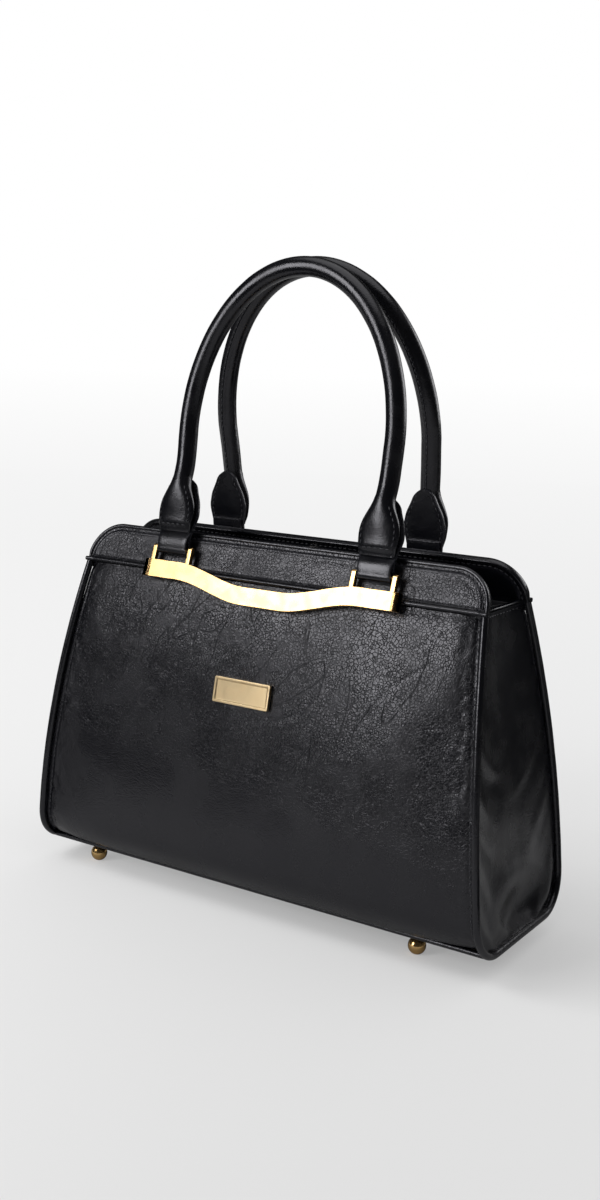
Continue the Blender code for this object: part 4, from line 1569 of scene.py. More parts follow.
    def rim_track(self, relief: float, foot: float, facing: bool = False) -> Track:
        """Points for a row of stitches along the rim, on the yoke or on its facing."""
        stand = FORM.yoke_stand()
        out = -stand.out if facing else stand.out
        path = FORM.rim_path(self.rim_stitch_inset, foot, 240)
        return [(stand.at(across, rise, relief), out) for across, rise in path]

    def make_yoke(self) -> None:
        """The yoke with its corded ridge, and its two rows of stitches."""
        name = self.name("yoke")
        yoke = self.yoke_sheet(name, (190, 44), FORM.face_inset, self.yoke_relief, FORM.seam_half_gap)
        Bench.wall(yoke, FORM.leather)
        Bench.smooth(yoke)
        self.enter(yoke, self.room.grain, name)
        stand = FORM.yoke_stand()
        reach = FORM.half_width(FORM.seam_height) - FORM.edge_inset
        surface = self.rim_groove.height - FORM.face_inset
        rim_row = self.rim_track(surface + 0.0002, self.seam_stitch_rise + 0.002)
        seam_row = [
            (stand.at(reach * (2 * step / 60 - 1), self.seam_stitch_rise, surface + 0.0003), stand.out)
            for step in range(61)
        ]
        self.sew("yoke_stitches", (rim_row, seam_row))

    def make_facing(self) -> None:
        """The smooth leather inside the yoke, with a stitched line under its rim."""
        name = self.name("facing")
        inset = self.facing_inset + FORM.leather
        facing = self.yoke_sheet(name, (110, 26), inset, self.facing_relief, -self.facing_drop)
        Bench.edit(facing, bpy.ops.mesh.flip_normals)
        Bench.wall(facing, FORM.leather)
        Bench.smooth(facing)
        self.enter(facing, self.room.smooth, name)
        self.sew("facing_stitches", (self.rim_track(-inset, 0.004, facing=True),))

    def make_binding(self) -> None:
        """The folded strip over the rim."""
        stand = FORM.yoke_stand()
        half_high = self.binding_height / 2
        half_thick = FORM.leather + FORM.gap / 2 + self.binding_proud
        path = FORM.rim_path(half_high, 2 * FORM.gap, 220)
        middle = -FORM.face_inset - FORM.leather - FORM.gap / 2
        sections = []
        for number, (across, rise) in enumerate(path):
            before, after = beside(path, number)
            run = Vector((after[0] - before[0], after[1] - before[1])).normalized()
            outward = stand.across * run.y - stand.up * run.x
            taper = 0.72 + 0.28 * eased(min(number, len(path) - 1 - number) / 4)
            centre = stand.at(across, rise, middle)
            sections.append(Section(centre, outward, stand.out, half_high * taper, half_thick * taper, 3.2))
        name = self.name("rim_binding")
        self.enter(Bench.sweep(name, sections, 20), self.room.smooth, name)

    def make_cord(
        self,
        piece: str,
        level: tuple[float, float],
        reach: float,
        radius: float,
        wave: Wave,
        line: float,
        tuck: float,
    ) -> None:
        """A straight cord along the half, whose ends may run on past the piping.

        Args:
            piece: The piece's name in this half.
            level: Its depth and height.
            reach: Half its length.
            radius: Its plain radius.
            wave: Its unevenness, as a share of the radius.
            line: Where the unevenness is read, beside the distance across.
            tuck: How far it runs on past the panel at each end.
        """
        depth, height = level
        sections = []
        for step in range(141):
            across = (reach + tuck) * (2 * step / 140 - 1)
            over = eased((abs(across) - reach) / FORM.piping_radius)
            centre = Vector((across, -depth - 0.0009 * over, height))
            size = radius * (1 + wave.at(across, line))
            sections.append(Section(centre, Vector((0, -1, 0)), Vector((0, 0, 1)), size, size))
        name = self.name(piece)
        self.enter(Bench.sweep(name, sections, 14), self.room.smooth, name)

    def make(self) -> None:
        """Makes the whole half."""
        self.make_panel()
        self.make_yoke()
        self.make_facing()
        self.make_binding()
        level = FORM.wall_point(FORM.seam_height, 0.0006)
        reach = FORM.half_width(FORM.seam_height) - FORM.edge_inset
        tuck = 2 * FORM.piping_radius
        self.make_cord("yoke_welt", level, reach, FORM.welt_radius, self.welt_wave, 0.0, tuck)
        level = FORM.corner_point(FORM.base_piping_angle, FORM.base_piping_radius)
        reach = FORM.half_width(level[1]) - FORM.edge_inset
        self.make_cord("base_piping", level, reach, FORM.base_piping_radius, self.piping_wave, 1.0, 0.0)


@dataclass
class SideGusset:
    """One soft end of the bag, with its piping, hem and stitches."""

    half: Half
    room: Workroom
    columns: int = 72
    rows: int = 110
    edge_tuck: float = 0.0010
    arch_depth: float = 0.006
    arch_height: float = 0.004
    arch_radius: float = 0.034
    arch_squeeze: float = 0.92
    arch: Crest = Crest(0.0022, 0.012)
    hollow_depth: float = 0.0034
    hollow_inset: float = 0.004
    hollow_width: float = 0.022
    free_border: float = 0.010
    free_foot: float = 0.014
    folds: tuple[Wave, Wave] = (Wave(0.0009, 0.028, 2.7), Wave(0.0002, 0.011, 5.9))
    fold_stretch: float = 0.45
    pleats: Wave = Wave(0.0012, 0.020, 8.3)
    pleat_stretch: float = 0.16
    pleat_foot: float = 0.06
    edge_hollow: Crest = Crest(-0.0005, 0.004)
    hem_sag: float = 0.0016
    hem_radius: float = 0.0009
    hem_stitch_drop: float = 0.0034
    slack: float = 0.006
    stiffness: float = 6.0
    mass: float = 0.4
    draw: float = 0.5
    weight_share: float = 0.3
    frames: int = 20
    cap: float = 0.0018

    def enter(self, piece: Piece, finish: Finish, *nodes: str) -> None:
        """Enters a piece of this end on the bag."""
        self.room.enter(piece, finish, self.half, *nodes)

    def relief(self, depth: float, height: float, reach: float) -> float:
        """How far the soft leather stands out from the plain gusset.

        Args:
            depth: Y of the point.
            height: Z of the point.
            reach: Half the gusset's depth at that height.

        Returns:
            The relief, in metres.
        """
        edge = reach - abs(depth)
        free = eased(edge / self.free_border) * eased((height - self.free_foot) / self.free_border)
        lower = FORM.foot_height + self.arch_height
        away = math.hypot((depth - self.arch_depth) * self.arch_squeeze, height - lower)
        arch = self.arch.at(away - self.arch_radius)
        hollow = self.hollow_depth * eased((self.arch_radius - self.hollow_inset - away) / self.hollow_width)
        folds = sum(wave.at(depth, height * self.fold_stretch) for wave in self.folds)
        pleats = eased((height - self.pleat_foot) / self.pleat_foot)
        pleats *= self.pleats.at(depth, height * self.pleat_stretch)
        return free * (arch - hollow + folds + pleats) + self.edge_hollow.at(edge)

    def face(self, depth: float, height: float, reach: float) -> Vector:
        """The point of the outer face at a depth and height."""
        x = FORM.gusset_face(depth, height, 0.0) + self.relief(depth, height, reach)
        return Vector((x, depth, height))

    def make_sheet(self) -> None:
        """The gusset itself."""
        top = FORM.seam_height - FORM.gap
        track = FORM.track(FORM.edge_inset - self.edge_tuck, 0.0, top, self.rows // 2)
        last = len(track) - 1

        def place(across: float, up: float) -> Vector:
            """The point for a share across and up."""
            point = track[round(up * last)]
            sag = self.hem_sag * (1 - across**2) * eased((up - 0.9) / 0.1)
            return self.face(across * point.depth, point.height, point.depth) - Vector((0, 0, sag))

        def rub(across: float, up: float) -> float:
            """How rubbed the leather is there."""
            return 0.3 * bell(1 - abs(across), 0.03) + 0.25 * bell(1 - up, 0.012)

        name = self.half.value + "_gusset"
        gusset = Bench.laid(name, (self.columns // 2, self.rows // 2), place, {"rub": rub})
        self.settle(gusset)
        Bench.change(gusset, "SUBSURF", levels=1, render_levels=1)
        Bench.wall(gusset, FORM.leather, even=False)
        Bench.smooth(gusset, 60)
        self.enter(gusset, self.room.smooth, name)

    def settle(self, sheet: Piece) -> None:
        """Lets the slack leather buckle as cloth does, sewn along its border, and applies that.

        Args:
            sheet: The laid sheet.
        """
        laid = [vertex.co.copy() for vertex in sheet.data.vertices]
        sewn = sheet.vertex_groups.new(name="sewn")
        Bench.hold(sheet)
        bpy.ops.object.mode_set(mode="EDIT")
        bpy.context.tool_settings.mesh_select_mode = (True, False, False)
        bpy.ops.mesh.select_all(action="DESELECT")
        bpy.ops.mesh.select_non_manifold()
        bpy.ops.object.vertex_group_assign()
        bpy.ops.object.mode_set(mode="OBJECT")
        cloth = sheet.modifiers.new("cloth", "CLOTH").settings
        cloth.quality = 8
        cloth.mass = self.mass
        cloth.bending_stiffness = self.stiffness
        cloth.shrink_min = -self.slack
        cloth.use_pressure = True
        cloth.uniform_pressure_force = -self.draw
        cloth.vertex_group_mass = sewn.name
        cloth.effector_weights.gravity = self.weight_share
        for frame in range(1, self.frames + 1):
            bpy.context.scene.frame_set(frame)
        Bench.apply(sheet)
        bpy.context.scene.frame_set(1)
        sheet.vertex_groups.clear()
        for vertex, start in zip(sheet.data.vertices, laid):
            step = vertex.co - start
            size = step.length
            if size > FORM.gap:
                vertex.co = start + step * (self.cap * math.tanh(size / self.cap) / size)

    def make_hem(self) -> None:
        """The folded top edge with its stitches."""
        top = FORM.seam_height - FORM.gap
        reach = FORM.track(FORM.edge_inset - self.edge_tuck, 0.0, top, 4)[-1].depth
        side, up = Vector((1, 0, 0)), Vector((0, 0, 1))
        radius = self.hem_radius + FORM.leather / 2
        sections, row = [], []
        for step in range(49):
            share = 2 * step / 48 - 1
            sag = self.hem_sag * (1 - share**2)
            edge = self.face(share * reach, top, reach) - Vector((FORM.leather / 2, 0, sag))
            sections.append(Section(edge, side, up, radius, self.hem_radius, 2.4))
            below = self.face(share * reach, top - self.hem_stitch_drop, reach) - Vector((0, 0, sag))
            row.append((below, side))
        self.enter(Bench.sweep(self.half.value + "_gusset_hem", sections, 12), self.room.smooth)
        stitches = STITCHING.rows(self.half.value + "_gusset_stitches", (row[3:-3],))
        self.enter(stitches, self.room.thread)

    def make_piping(self) -> None:
        """The piping that runs down, under and up round the gusset."""
        radius = FORM.piping_radius
        track = FORM.track(radius, 0.0, FORM.seam_height, 130)
        path = []
        for point in track:
            path.append(Vector((FORM.half_width(point.height) - radius, -point.depth, point.height)))
        flat = [Vector((path[0].x, y, path[0].z)) for y in np.linspace(-track[0].depth, track[0].depth, 21)]
        other = [Vector((point.x, -point.y, point.z)) for point in path]
        line = list(reversed(path)) + flat[1:-1] + other
        uneven = Wave(0.035, 0.011, 4.0)
        sections = []
        for number, centre in enumerate(line):
            before, after = beside(line, number)
            run = (after - before).normalized()
            across = (Vector((1, 0, 0)) - run * run.x).normalized()
            size = radius * (1 + uneven.at(*centre))
            sections.append(Section(centre, across, run.cross(across), size, size))
        name = self.half.value + "_gusset_piping"
        self.enter(Bench.sweep(name, sections, 18), self.room.smooth, name)

    def make(self) -> None:
        """Makes the whole end."""
        self.make_sheet()
        self.make_hem()
        self.make_piping()


@dataclass
class Underside:
    """The base leather, its board and the four ball feet."""

    room: Workroom
    edge_tuck: float = 0.0010
    waves: Wave = Wave(0.0002, 0.05, 1.1)
    foot_radius: float = 0.0052
    foot_flat_radius: float = 0.0020
    foot_stem_radius: float = 0.0016
    foot_end_inset: float = 0.042
    foot_face_inset: float = 0.0222
    foot_shift: float = -0.008
    foot_top: float = 0.0157

    def make_base(self) -> None:
        """The base leather between the two base pipings."""
        radius = FORM.corner_radius - FORM.base_piping_radius
        edge = FORM.base_piping_angle - (FORM.base_piping_radius + FORM.gap) / radius
        side = [FORM.corner_point(edge * (1 - step / 6), FORM.face_inset) for step in range(7)]
        middle = np.linspace(-side[-1][0], side[-1][0], 41)[1:-1]
        rows = [(-depth, height) for depth, height in side]
        rows += [(float(depth), side[-1][1]) for depth in middle]
        rows += list(reversed(side))
        last = len(rows) - 1

        def place(across: float, up: float) -> Vector:
            """The point for a share across and up."""
            depth, height = rows[round(up * last)]
            x = -across * (FORM.half_width(height) - FORM.edge_inset + self.edge_tuck)
            return Vector((x, depth, height - self.waves.at(x, depth)))

        base = Bench.laid("base_panel", (96, last), place)
        Bench.wall(base, FORM.leather)
        Bench.smooth(base)
        self.room.enter(base, self.room.smooth, Half.FRONT, "base_panel")
        self.room.keep("base_board", self.room.board)

    def make_feet(self) -> None:
        """Four ball feet drawn up from their flats, each with a stem."""
        radius, stem = self.foot_radius, self.foot_stem_radius
        centre = math.sqrt(radius**2 - self.foot_flat_radius**2)
        start = math.pi - math.asin(self.foot_flat_radius / radius)
        end = math.asin(stem / radius)
        angles = [start + (end - start) * step / 20 for step in range(21)]
        profile = [(radius * math.sin(angle), centre + radius * math.cos(angle)) for angle in angles]
        profile += [(stem, self.foot_top - 0.0002), (stem * 0.9, self.foot_top)]
        x = FORM.base_width / 2 - self.foot_end_inset
        y = FORM.base_depth / 2 - self.foot_face_inset
        for depth_name, depth in (("front", -y), ("back", y)):
            for side_name, across in (("left", -x), ("right", x)):
                name = f"{depth_name}_{side_name}_foot"
                foot = Bench.stack(name, profile, 40)
                Bench.smooth(foot, 40)
                Bench.move(foot, Matrix.Translation((across + self.foot_shift, depth, 0)))
                self.room.enter(foot, self.room.polished, Half.FRONT, name)
                self.room.keep(name + "_nut", self.room.steel)

    def make(self) -> None:
        """Makes the underside."""
        self.make_base()
        self.make_feet()


@dataclass
class Inside:
    """The lining and the magnetic snap."""

    room: Workroom
    steps: int = 26
    rows: int = 70
    floor_rows: int = 10
    thickness: float = 0.0006
    end_slack: float = 0.0045
    waves: tuple[Wave, Wave] = (Wave(0.00045, 0.020, 1.7), Wave(0.00018, 0.007, 6.6))
    least_slack: float = 0.0001
    snap_out: float = -0.0042
    snap_inset: float = 0.0026
    socket: Shares = (
        (0.0080, 0.0), (0.0080, 0.0016), (0.0075, 0.0020), (0.0048, 0.0020),
        (0.0044, 0.0018), (0.0034, 0.0018), (0.0034, 0.0007), (0.0006, 0.0007),
    )
    stud: Shares = (
        (0.0080, 0.0), (0.0080, 0.0008), (0.0075, 0.0012), (0.0034, 0.0012),
        (0.0030, 0.0013), (0.0030, 0.0020), (0.0026, 0.0023), (0.0006, 0.0023),
    )

    def ring(self, point: TrackPoint) -> list[Vector]:
        """The lining's outline at one height, from the front left corner round."""
        inset = FORM.leather + FORM.gap
        corner = FORM.gusset_face(point.depth, point.height, inset)
        half, right = [], []
        for step in range(self.steps):
            spot = 2 * step / self.steps - 1
            half.append(Vector((spot * corner, -point.depth, point.height)))
            y = spot * point.depth
            clear = inset + self.end_slack * (1 - spot**4)
            right.append(Vector((FORM.gusset_face(y, point.height, clear), y, point.height)))
        half += right
        ring = half + [Vector((-spot.x, -spot.y, spot.z)) for spot in half]
        return ring + ring[:1]

    def make_lining(self) -> None:
        """The sewn cloth bucket inside the bag, cut as one cross-shaped sheet."""
        track = FORM.track(FORM.lining_inset, 0.0, FORM.seam_height - FORM.gap, self.rows)
        base = self.ring(track[0])
        shares = [row / self.floor_rows for row in range(self.floor_rows)]
        rings = [[Vector((spot.x * share, spot.y * share, spot.z)) for spot in base] for share in shares]
        rings += [self.ring(point) for point in track]
        last, count = len(rings) - 1, len(base) - 1

        def spot(across: float, up: float) -> tuple[int, Vector]:
            """The ring's number and the point on it."""
            row = round(up * last)
            return row, rings[row][round((across + 1) / 2 * count)]

        def place(across: float, up: float) -> Vector:
            """The point for a share across and up."""
            _, point = spot(across, up)
            slack = abs(sum(wave.at(*point) for wave in self.waves)) + self.least_slack
            inward = Vector((-point.x, -point.y * 3, 0.0))
            if inward.length > FORM.gap:
                inward.normalize()
            return point + inward * slack

        def flat(across: float, up: float) -> tuple[float, float]:
            """The place on the flat cut."""
            row, point = spot(across, up)
            if row < self.floor_rows:
                return point.x, point.y
            return (across + 1) * (FORM.base_width + FORM.base_depth), point.z - base[0].z

        lining = Bench.laid("lining", (count, last), place, None, flat)
        Bench.edit(lining, Bench.merge, Bench.turn_faces)
        Bench.wall(lining, self.thickness)
        Bench.smooth(lining, 60)
        self.room.enter(lining, self.room.lining, Half.FRONT, "lining")

    def make_snap(self) -> None:
        """A socket on the front facing and a stud on the back one."""
        rise = (FORM.yoke_rise - self.snap_inset + FORM.seam_half_gap) / 2
        stand = FORM.yoke_stand()
        inner = Stand(stand.at(0.0, rise, self.snap_out), stand.across, -stand.up, -stand.out)
        for name, profile, half in (
            ("snap_socket", self.socket, Half.FRONT),
            ("snap_stud", self.stud, Half.BACK),
        ):
            disc = Bench.stack(name, profile, 48)
            Bench.smooth(disc, 35)
            Bench.move(disc, inner.matrix())
            self.room.enter(disc, self.room.steel, half, name)

    def make(self) -> None:
        """Makes the inside."""
        self.make_lining()
        self.make_snap()


# Hardware


@dataclass
class BracketBar:
    """The cast bar on a yoke seam, its four lugs and its two crossbar pins."""

    half: Half
    room: Workroom
    half_length: float = 0.089
    height: float = 0.0106
    thickness: float = 0.0042
    lower: float = 0.0009
    dip: float = 0.0093
    bend_outer: float = 0.064
    bend_inner: float = 0.013
    chamfer: float = 0.0018
    end_chamfer_share: float = 2.2
    edge_share: float = 0.22
    standoff: float = 0.0010
    leg_half_span: float = 0.0709
    lug_spread: float = 0.0132
    lug_thickness: float = 0.0034
    lug_depth: float = 0.0044
    lug_rise: float = 0.0143
    lug_sink: float = 0.0015
    lug_shy: float = 0.0007
    lug_round_share: float = 0.46
    lug_edge: float = 0.0006
    pin_radius: float = 0.0012
    pin_end_share: float = 0.7
    pin_chamfer: float = 0.0003
    boss_radius: float = 0.0032
    boss_sink: float = 0.0006
    boss_reach: float = 0.0012
    screw_spread: float = 0.030
    cuts: int = 70

    def drop(self, across: float) -> float:
        """How far the bar's middle line lies below the seam."""
        share = (self.bend_outer - abs(across)) / (self.bend_outer - self.bend_inner)
        return self.lower + self.dip * eased(share)

    def bar(self) -> Piece:
        """The dipped bar, cut from a block, bent and chamfered."""
        bar = Bench.block("bar", (2 * self.half_length, self.height, self.thickness))
        Bench.work(
            bar,
            lambda middle, along: abs(along.x) > 0.5,
            lambda: bpy.ops.mesh.subdivide(number_cuts=self.cuts),
        )
        for vertex in bar.data.vertices:
            vertex.co.y -= self.drop(vertex.co.x)
            vertex.co.z += self.standoff + self.thickness / 2
        end, front = self.half_length - SLIVER, self.standoff + self.thickness - SLIVER
        width = self.end_chamfer_share * self.chamfer
        Bench.bevel(bar, lambda middle, along: abs(middle.x) > end and middle.z > front, width, 1)
        Bench.soften(bar, self.chamfer, 1, 35)
        Bench.soften(bar, self.chamfer * self.edge_share, 2, 25)
        return bar

    def lug(self, across: float) -> Piece:
        """One upright lug with a round top, standing on the bar's upper edge."""
        root = self.height / 2 - self.drop(across) - self.lug_sink
        depth = self.lug_depth - 2 * self.lug_shy
        lug = Bench.block("lug", (self.lug_thickness, self.lug_rise - root, depth))
        shift = Vector((across, (self.lug_rise + root) / 2, self.standoff + self.lug_depth / 2))
        Bench.move(lug, Matrix.Translation(shift))
        top = self.lug_rise - SLIVER
        width = depth * self.lug_round_share
        Bench.bevel(lug, lambda middle, along: abs(along.x) > 0.5 and middle.y > top, width, 6)
        Bench.soften(lug, self.lug_edge, 3, 50)
        return lug

    def boss(self, across: float) -> Piece:
        """A round boss that holds the bar off the leather."""
        profile = [(self.boss_radius, -self.boss_sink), (self.boss_radius, self.standoff + self.boss_reach)]
        boss = Bench.stack("boss", profile, 28)
        Bench.move(boss, Matrix.Translation((across, -self.drop(across), 0)))
        return boss

    def make(self) -> None:
        """Makes the bar with its lugs, and the pins in them."""
        stand = FORM.seam_stand().matrix()
        pieces = [self.bar()]
        for leg in (-1, 1):
            for side in (-1, 1):
                pieces.append(self.lug(leg * self.leg_half_span + side * self.lug_spread))
            pieces.append(self.boss(leg * self.screw_spread))
        name = self.half.value + "_bracket_bar"
        bar = Bench.join(name, pieces)
        Bench.even(bar, 32)
        Bench.move(bar, stand)
        self.room.enter(bar, self.room.gold, self.half, name)
        reach, radius = self.lug_spread, self.pin_radius
        inner, tip = reach - self.pin_chamfer, radius * self.pin_end_share
        for side, leg in (("left", -1), ("right", 1)):
            name = f"{self.half.value}_{side}_strap_pin"
            pin = Bench.stack(name, [(tip, -reach), (radius, -inner), (radius, inner), (tip, reach)], 24)
            Bench.smooth(pin, 40)
            half_deep = self.lug_depth / 2
            place = (leg * self.leg_half_span, self.lug_rise - half_deep, self.standoff + half_deep)
            Bench.move(pin, stand @ Matrix.Translation(place) @ Matrix.Rotation(math.pi / 2, 4, "Y"))
            self.room.enter(pin, self.room.gold, self.half, name)
            self.room.keep(f"{self.half.value}_{side}_bar_screw", self.room.steel)


@dataclass
class NamePlate:
    """The bare plate with a raised rim on the front panel."""

    room: Workroom
    width: float = 0.0392
    height: float = 0.0151
    thickness: float = 0.0024
    rim: float = 0.0013
    recess: float = 0.0006
    corner_share: float = 0.6
    edge: float = 0.00022
    rise: float = 0.1243
    shift: float = -0.0045

    def make(self) -> None:
        """Makes the plate."""
        level = FORM.foot_height + self.rise
        origin = Vector((self.shift, -FORM.half_depth(level), level))
        stand = Stand.leaning(origin, -math.atan(FORM.depth_slope(level)))
        plate = Bench.block("name_plate", (self.width, self.height, self.thickness))
        out = FORM.gap - FORM.face_inset + self.thickness / 2
        Bench.move(plate, Matrix.Translation((0, 0, out)))
        Bench.work(
            plate,
            lambda middle, normal: normal.z > 0.9,
            lambda: bpy.ops.mesh.inset(thickness=self.rim),
            lambda: bpy.ops.mesh.inset(thickness=self.recess, depth=-self.recess),
            faces=True,
        )
        Bench.bevel(plate, lambda middle, along: abs(along.z) > 0.9, self.rim * self.corner_share, 3)
        Bench.soften(plate, self.edge, 2, 25)
        Bench.even(plate, 40)
        Bench.move(plate, stand.matrix())
        self.room.enter(plate, self.room.plate, Half.FRONT, "name_plate")


# Handles


@dataclass
class Handle:
    """One handle: the stuffed roll with its two pads, two straps round the pins, and the stitching."""

    half: Half
    body: Body
    room: Workroom
    pad_lean: float
    roll_lean: float
    splay: float
    leg_half_span: float = 0.0709
    pin_rise: float = 0.0121
    pin_out: float = 0.0032
    wrap_radius: float = 0.0023
    strap_thickness: float = 0.0016
    strap_half_width: float = 0.0107
    strap_edge: float = 0.00045
    strap_fall: float = 0.00025
    spade_half_width: float = 0.0138
    spade_rise: float = 0.041
    spade_tip: float = 0.003
    tip_round: float = 0.0055
    strap_bow: float = 0.0010
    strap_return: float = 0.014
    close_rise: float = 0.006
    flange_stitch_inset: float = 0.0021
    roll_radius: float = 0.0058
    pad_foot: float = 0.0105
    pad_half_width: float = 0.0130
    pad_half_thickness: float = 0.0018
    pad_squareness: float = 2.05
    pad_steps: int = 26
    pad_stitch_inset: float = 0.0022
    pad_groove: Crest = Crest(-0.00030, 0.0008)
    foot_groove: Crest = Crest(-0.00018, 0.8)
    roll_bend: float = 0.020
    leg_length: float = 0.0325
    leg_steps: int = 18
    arch_rise: float = 0.0967
    arch_steps: int = 42
    seam_angle: float = math.radians(270)
    seam_lift: Crest = Crest(0.00042, 0.0006)
    seam_bite: Crest = Crest(-0.00045, 0.0003)
    seam_spread: float = 0.0007
    lumps: Wave = Wave(0.00010, 0.010, 3.3)
    spade_shares: Shares = (
        (0.0, 0.754), (0.12, 0.754), (0.52, 1.0), (0.73, 0.86), (0.88, 0.62), (1.0, 0.48), (1.1, 0.44)
    )
    width_shares: Shares = (
        (-0.1, 0.80), (0.0, 0.86), (0.15, 0.94), (0.38, 1.0),
        (0.56, 0.94), (0.74, 0.74), (0.9, 0.53), (1.0, 0.468),
    )
    round_shares: Shares = ((0.0, 0.0), (0.3, 0.30), (0.6, 0.70), (0.85, 0.96), (1.0, 1.0))

    def enter(self, piece: Piece, finish: Finish, *nodes: str) -> None:
        """Enters a piece of this handle on its moving body."""
        self.room.enter(piece, finish, self.half, *nodes, body=self.body)

    def pin(self, side: float) -> Vector:
        """The middle of the front half's left or right pin, by -1 or 1, or of their line, by 0."""
        middle = FORM.seam_stand().at(0.0, self.pin_rise, self.pin_out)
        return middle + Vector((side * self.leg_half_span, 0, 0))

    def spade(self, rise: float) -> float:
        """Half the flange's width at a rise."""
        return self.spade_half_width * flowing(self.spade_shares, rise / self.spade_rise, 0.06)

    def pad_sections(self) -> list[Section]:
        """Sections from the left pad's foot up to its neck."""
        stand = Stand.leaning(self.pin(-1), self.pad_lean)
        front = self.wrap_radius + self.strap_thickness / 2 + FORM.gap
        sections = []
        for step in range(self.pad_steps + 1):
            share = step / self.pad_steps
            rise = self.pad_foot + (self.spade_rise - self.pad_foot) * share
            rounding = flowing(self.round_shares, share)
            thick = self.pad_half_thickness + (self.roll_radius - self.pad_half_thickness) * rounding
            thick *= 0.40 + 0.60 * eased(step / 4)
            width = self.pad_half_width * flowing(self.width_shares, share)
            squareness = self.pad_squareness + (2 - self.pad_squareness) * rounding
            centre = stand.at(0.0, rise, front + thick)
            sections.append(Section(centre, stand.across, stand.out, width, thick, squareness))
        return sections

    def half_sections(self) -> list[Section]:
        """Sections from the left pad's foot up to the top of the arch."""
        sections = self.pad_sections()
        right = Vector((1, 0, 0))
        radius, steps = self.roll_radius, self.leg_steps
        centre = sections[-1].centre
        for step in range(steps):
            done = (step + 0.5) * self.leg_length / steps
            lean = self.pad_lean + (self.roll_lean - self.pad_lean) * eased(done / self.roll_bend)
            stand = Stand.leaning(centre, lean)
            centre = stand.at(-self.splay / steps, self.leg_length / steps, 0.0)
            if step < steps - 1:
                sections.append(Section(centre, right, stand.out, radius, radius))
        arch = Stand.leaning(centre, self.roll_lean)
        half_span = self.leg_half_span + self.splay
        for step in range(self.arch_steps + 1):
            angle = math.pi / 2 * step / self.arch_steps
            place = arch.at(half_span * (1 - math.cos(angle)), self.arch_rise * math.sin(angle), 0.0)
            run = right * (half_span * math.sin(angle)) + arch.up * (self.arch_rise * math.cos(angle))
            across = run.normalized().cross(arch.out)
            sections.append(Section(place, across, arch.out, radius, radius))
        return sections

    def mirrored(self, section: Section) -> Section:
        """The same section on the other leg."""
        flip = Matrix.Diagonal((-1, 1, 1))
        return replace(section, centre=flip @ section.centre, across=flip @ section.across)

    def make_roll(self) -> None:
        """The roll and its pads, with the sewn seam along the inner side."""
        half = self.half_sections()
        sections = half + [self.mirrored(section) for section in reversed(half[:-1])]
        last = len(sections) - 1

        def proud(angle: float, row: int) -> float:
            """How far the skin stands out at an angle of a section."""
            section = sections[row]
            end = min(row, last - row)
            away = (angle - self.seam_angle) * self.roll_radius
            lips = self.seam_lift.at(away - self.seam_spread) + self.seam_lift.at(away + self.seam_spread)
            sewn = eased((end - self.pad_steps + 8) / 8) * (lips + self.seam_bite.at(away))
            pad = 1 - eased((end - self.pad_steps + 6) / 6)
            edge = section.half_across * (1 - abs(math.cos(angle)) ** (2 / section.squareness))
            groove = pad * self.pad_groove.at(edge - self.pad_stitch_inset) + self.foot_groove.at(end - 3)
            return sewn + self.lumps.at(*section.at(angle)) + groove * eased(math.sin(angle) * 4)

        name = self.half.value + "_handle_roll"
        roll = Bench.sweep(name, sections, 40, proud)
        self.enter(roll, self.room.smooth, name)
        self.make_stitches(sections)

    def make_stitches(self, sections: list[Section]) -> None:
        """The stitches round the pads, across their feet and along the roll's seam.

        Args:
            sections: The roll's sections, from end to end.
        """
        plain = sections[self.pad_steps + 1 : len(sections) - 1 - self.pad_steps]
        tracks = [[(section.at(self.seam_angle), -section.out) for section in plain]]
        for order in (1, -1):
            ordered = sections[::order]
            for side in (-1, 1):
                row = []
                for section in ordered[4 : self.pad_steps - 2]:
                    share = 1 - self.pad_stitch_inset / section.half_across
                    angle = math.acos(side * share ** (section.squareness / 2))
                    row.append((section.at(angle, -0.0002), section.out))
                tracks.append(row)
            foot = ordered[3]
            row = []
            for step in range(9):
                share = (2 * step / 8 - 1) * 0.78
                angle = math.acos(math.copysign(abs(share) ** (foot.squareness / 2), share))
                row.append((foot.at(angle, -0.0001), foot.out))
            tracks.append(row)
        tracks += self.flange_tracks(-1) + self.flange_tracks(1)
        self.enter(STITCHING.rows(self.half.value + "_handle_stitches", tracks), self.room.thread)

    def flange_tracks(self, side: int) -> list[Track]:
        """Rows of stitches on the back of a flange, just inside its outline."""
        stand = Stand.leaning(self.pin(side), self.pad_lean)
        back = self.wrap_radius - self.strap_thickness / 2
        rises = [self.pad_foot + (self.spade_rise - self.pad_foot) * step / 24 for step in range(25)]
        inset = self.flange_stitch_inset
        return [
            [(stand.at(hand * (self.spade(rise) - inset), rise, back), -stand.out) for rise in rises]
            for hand in (-1, 1)
        ]

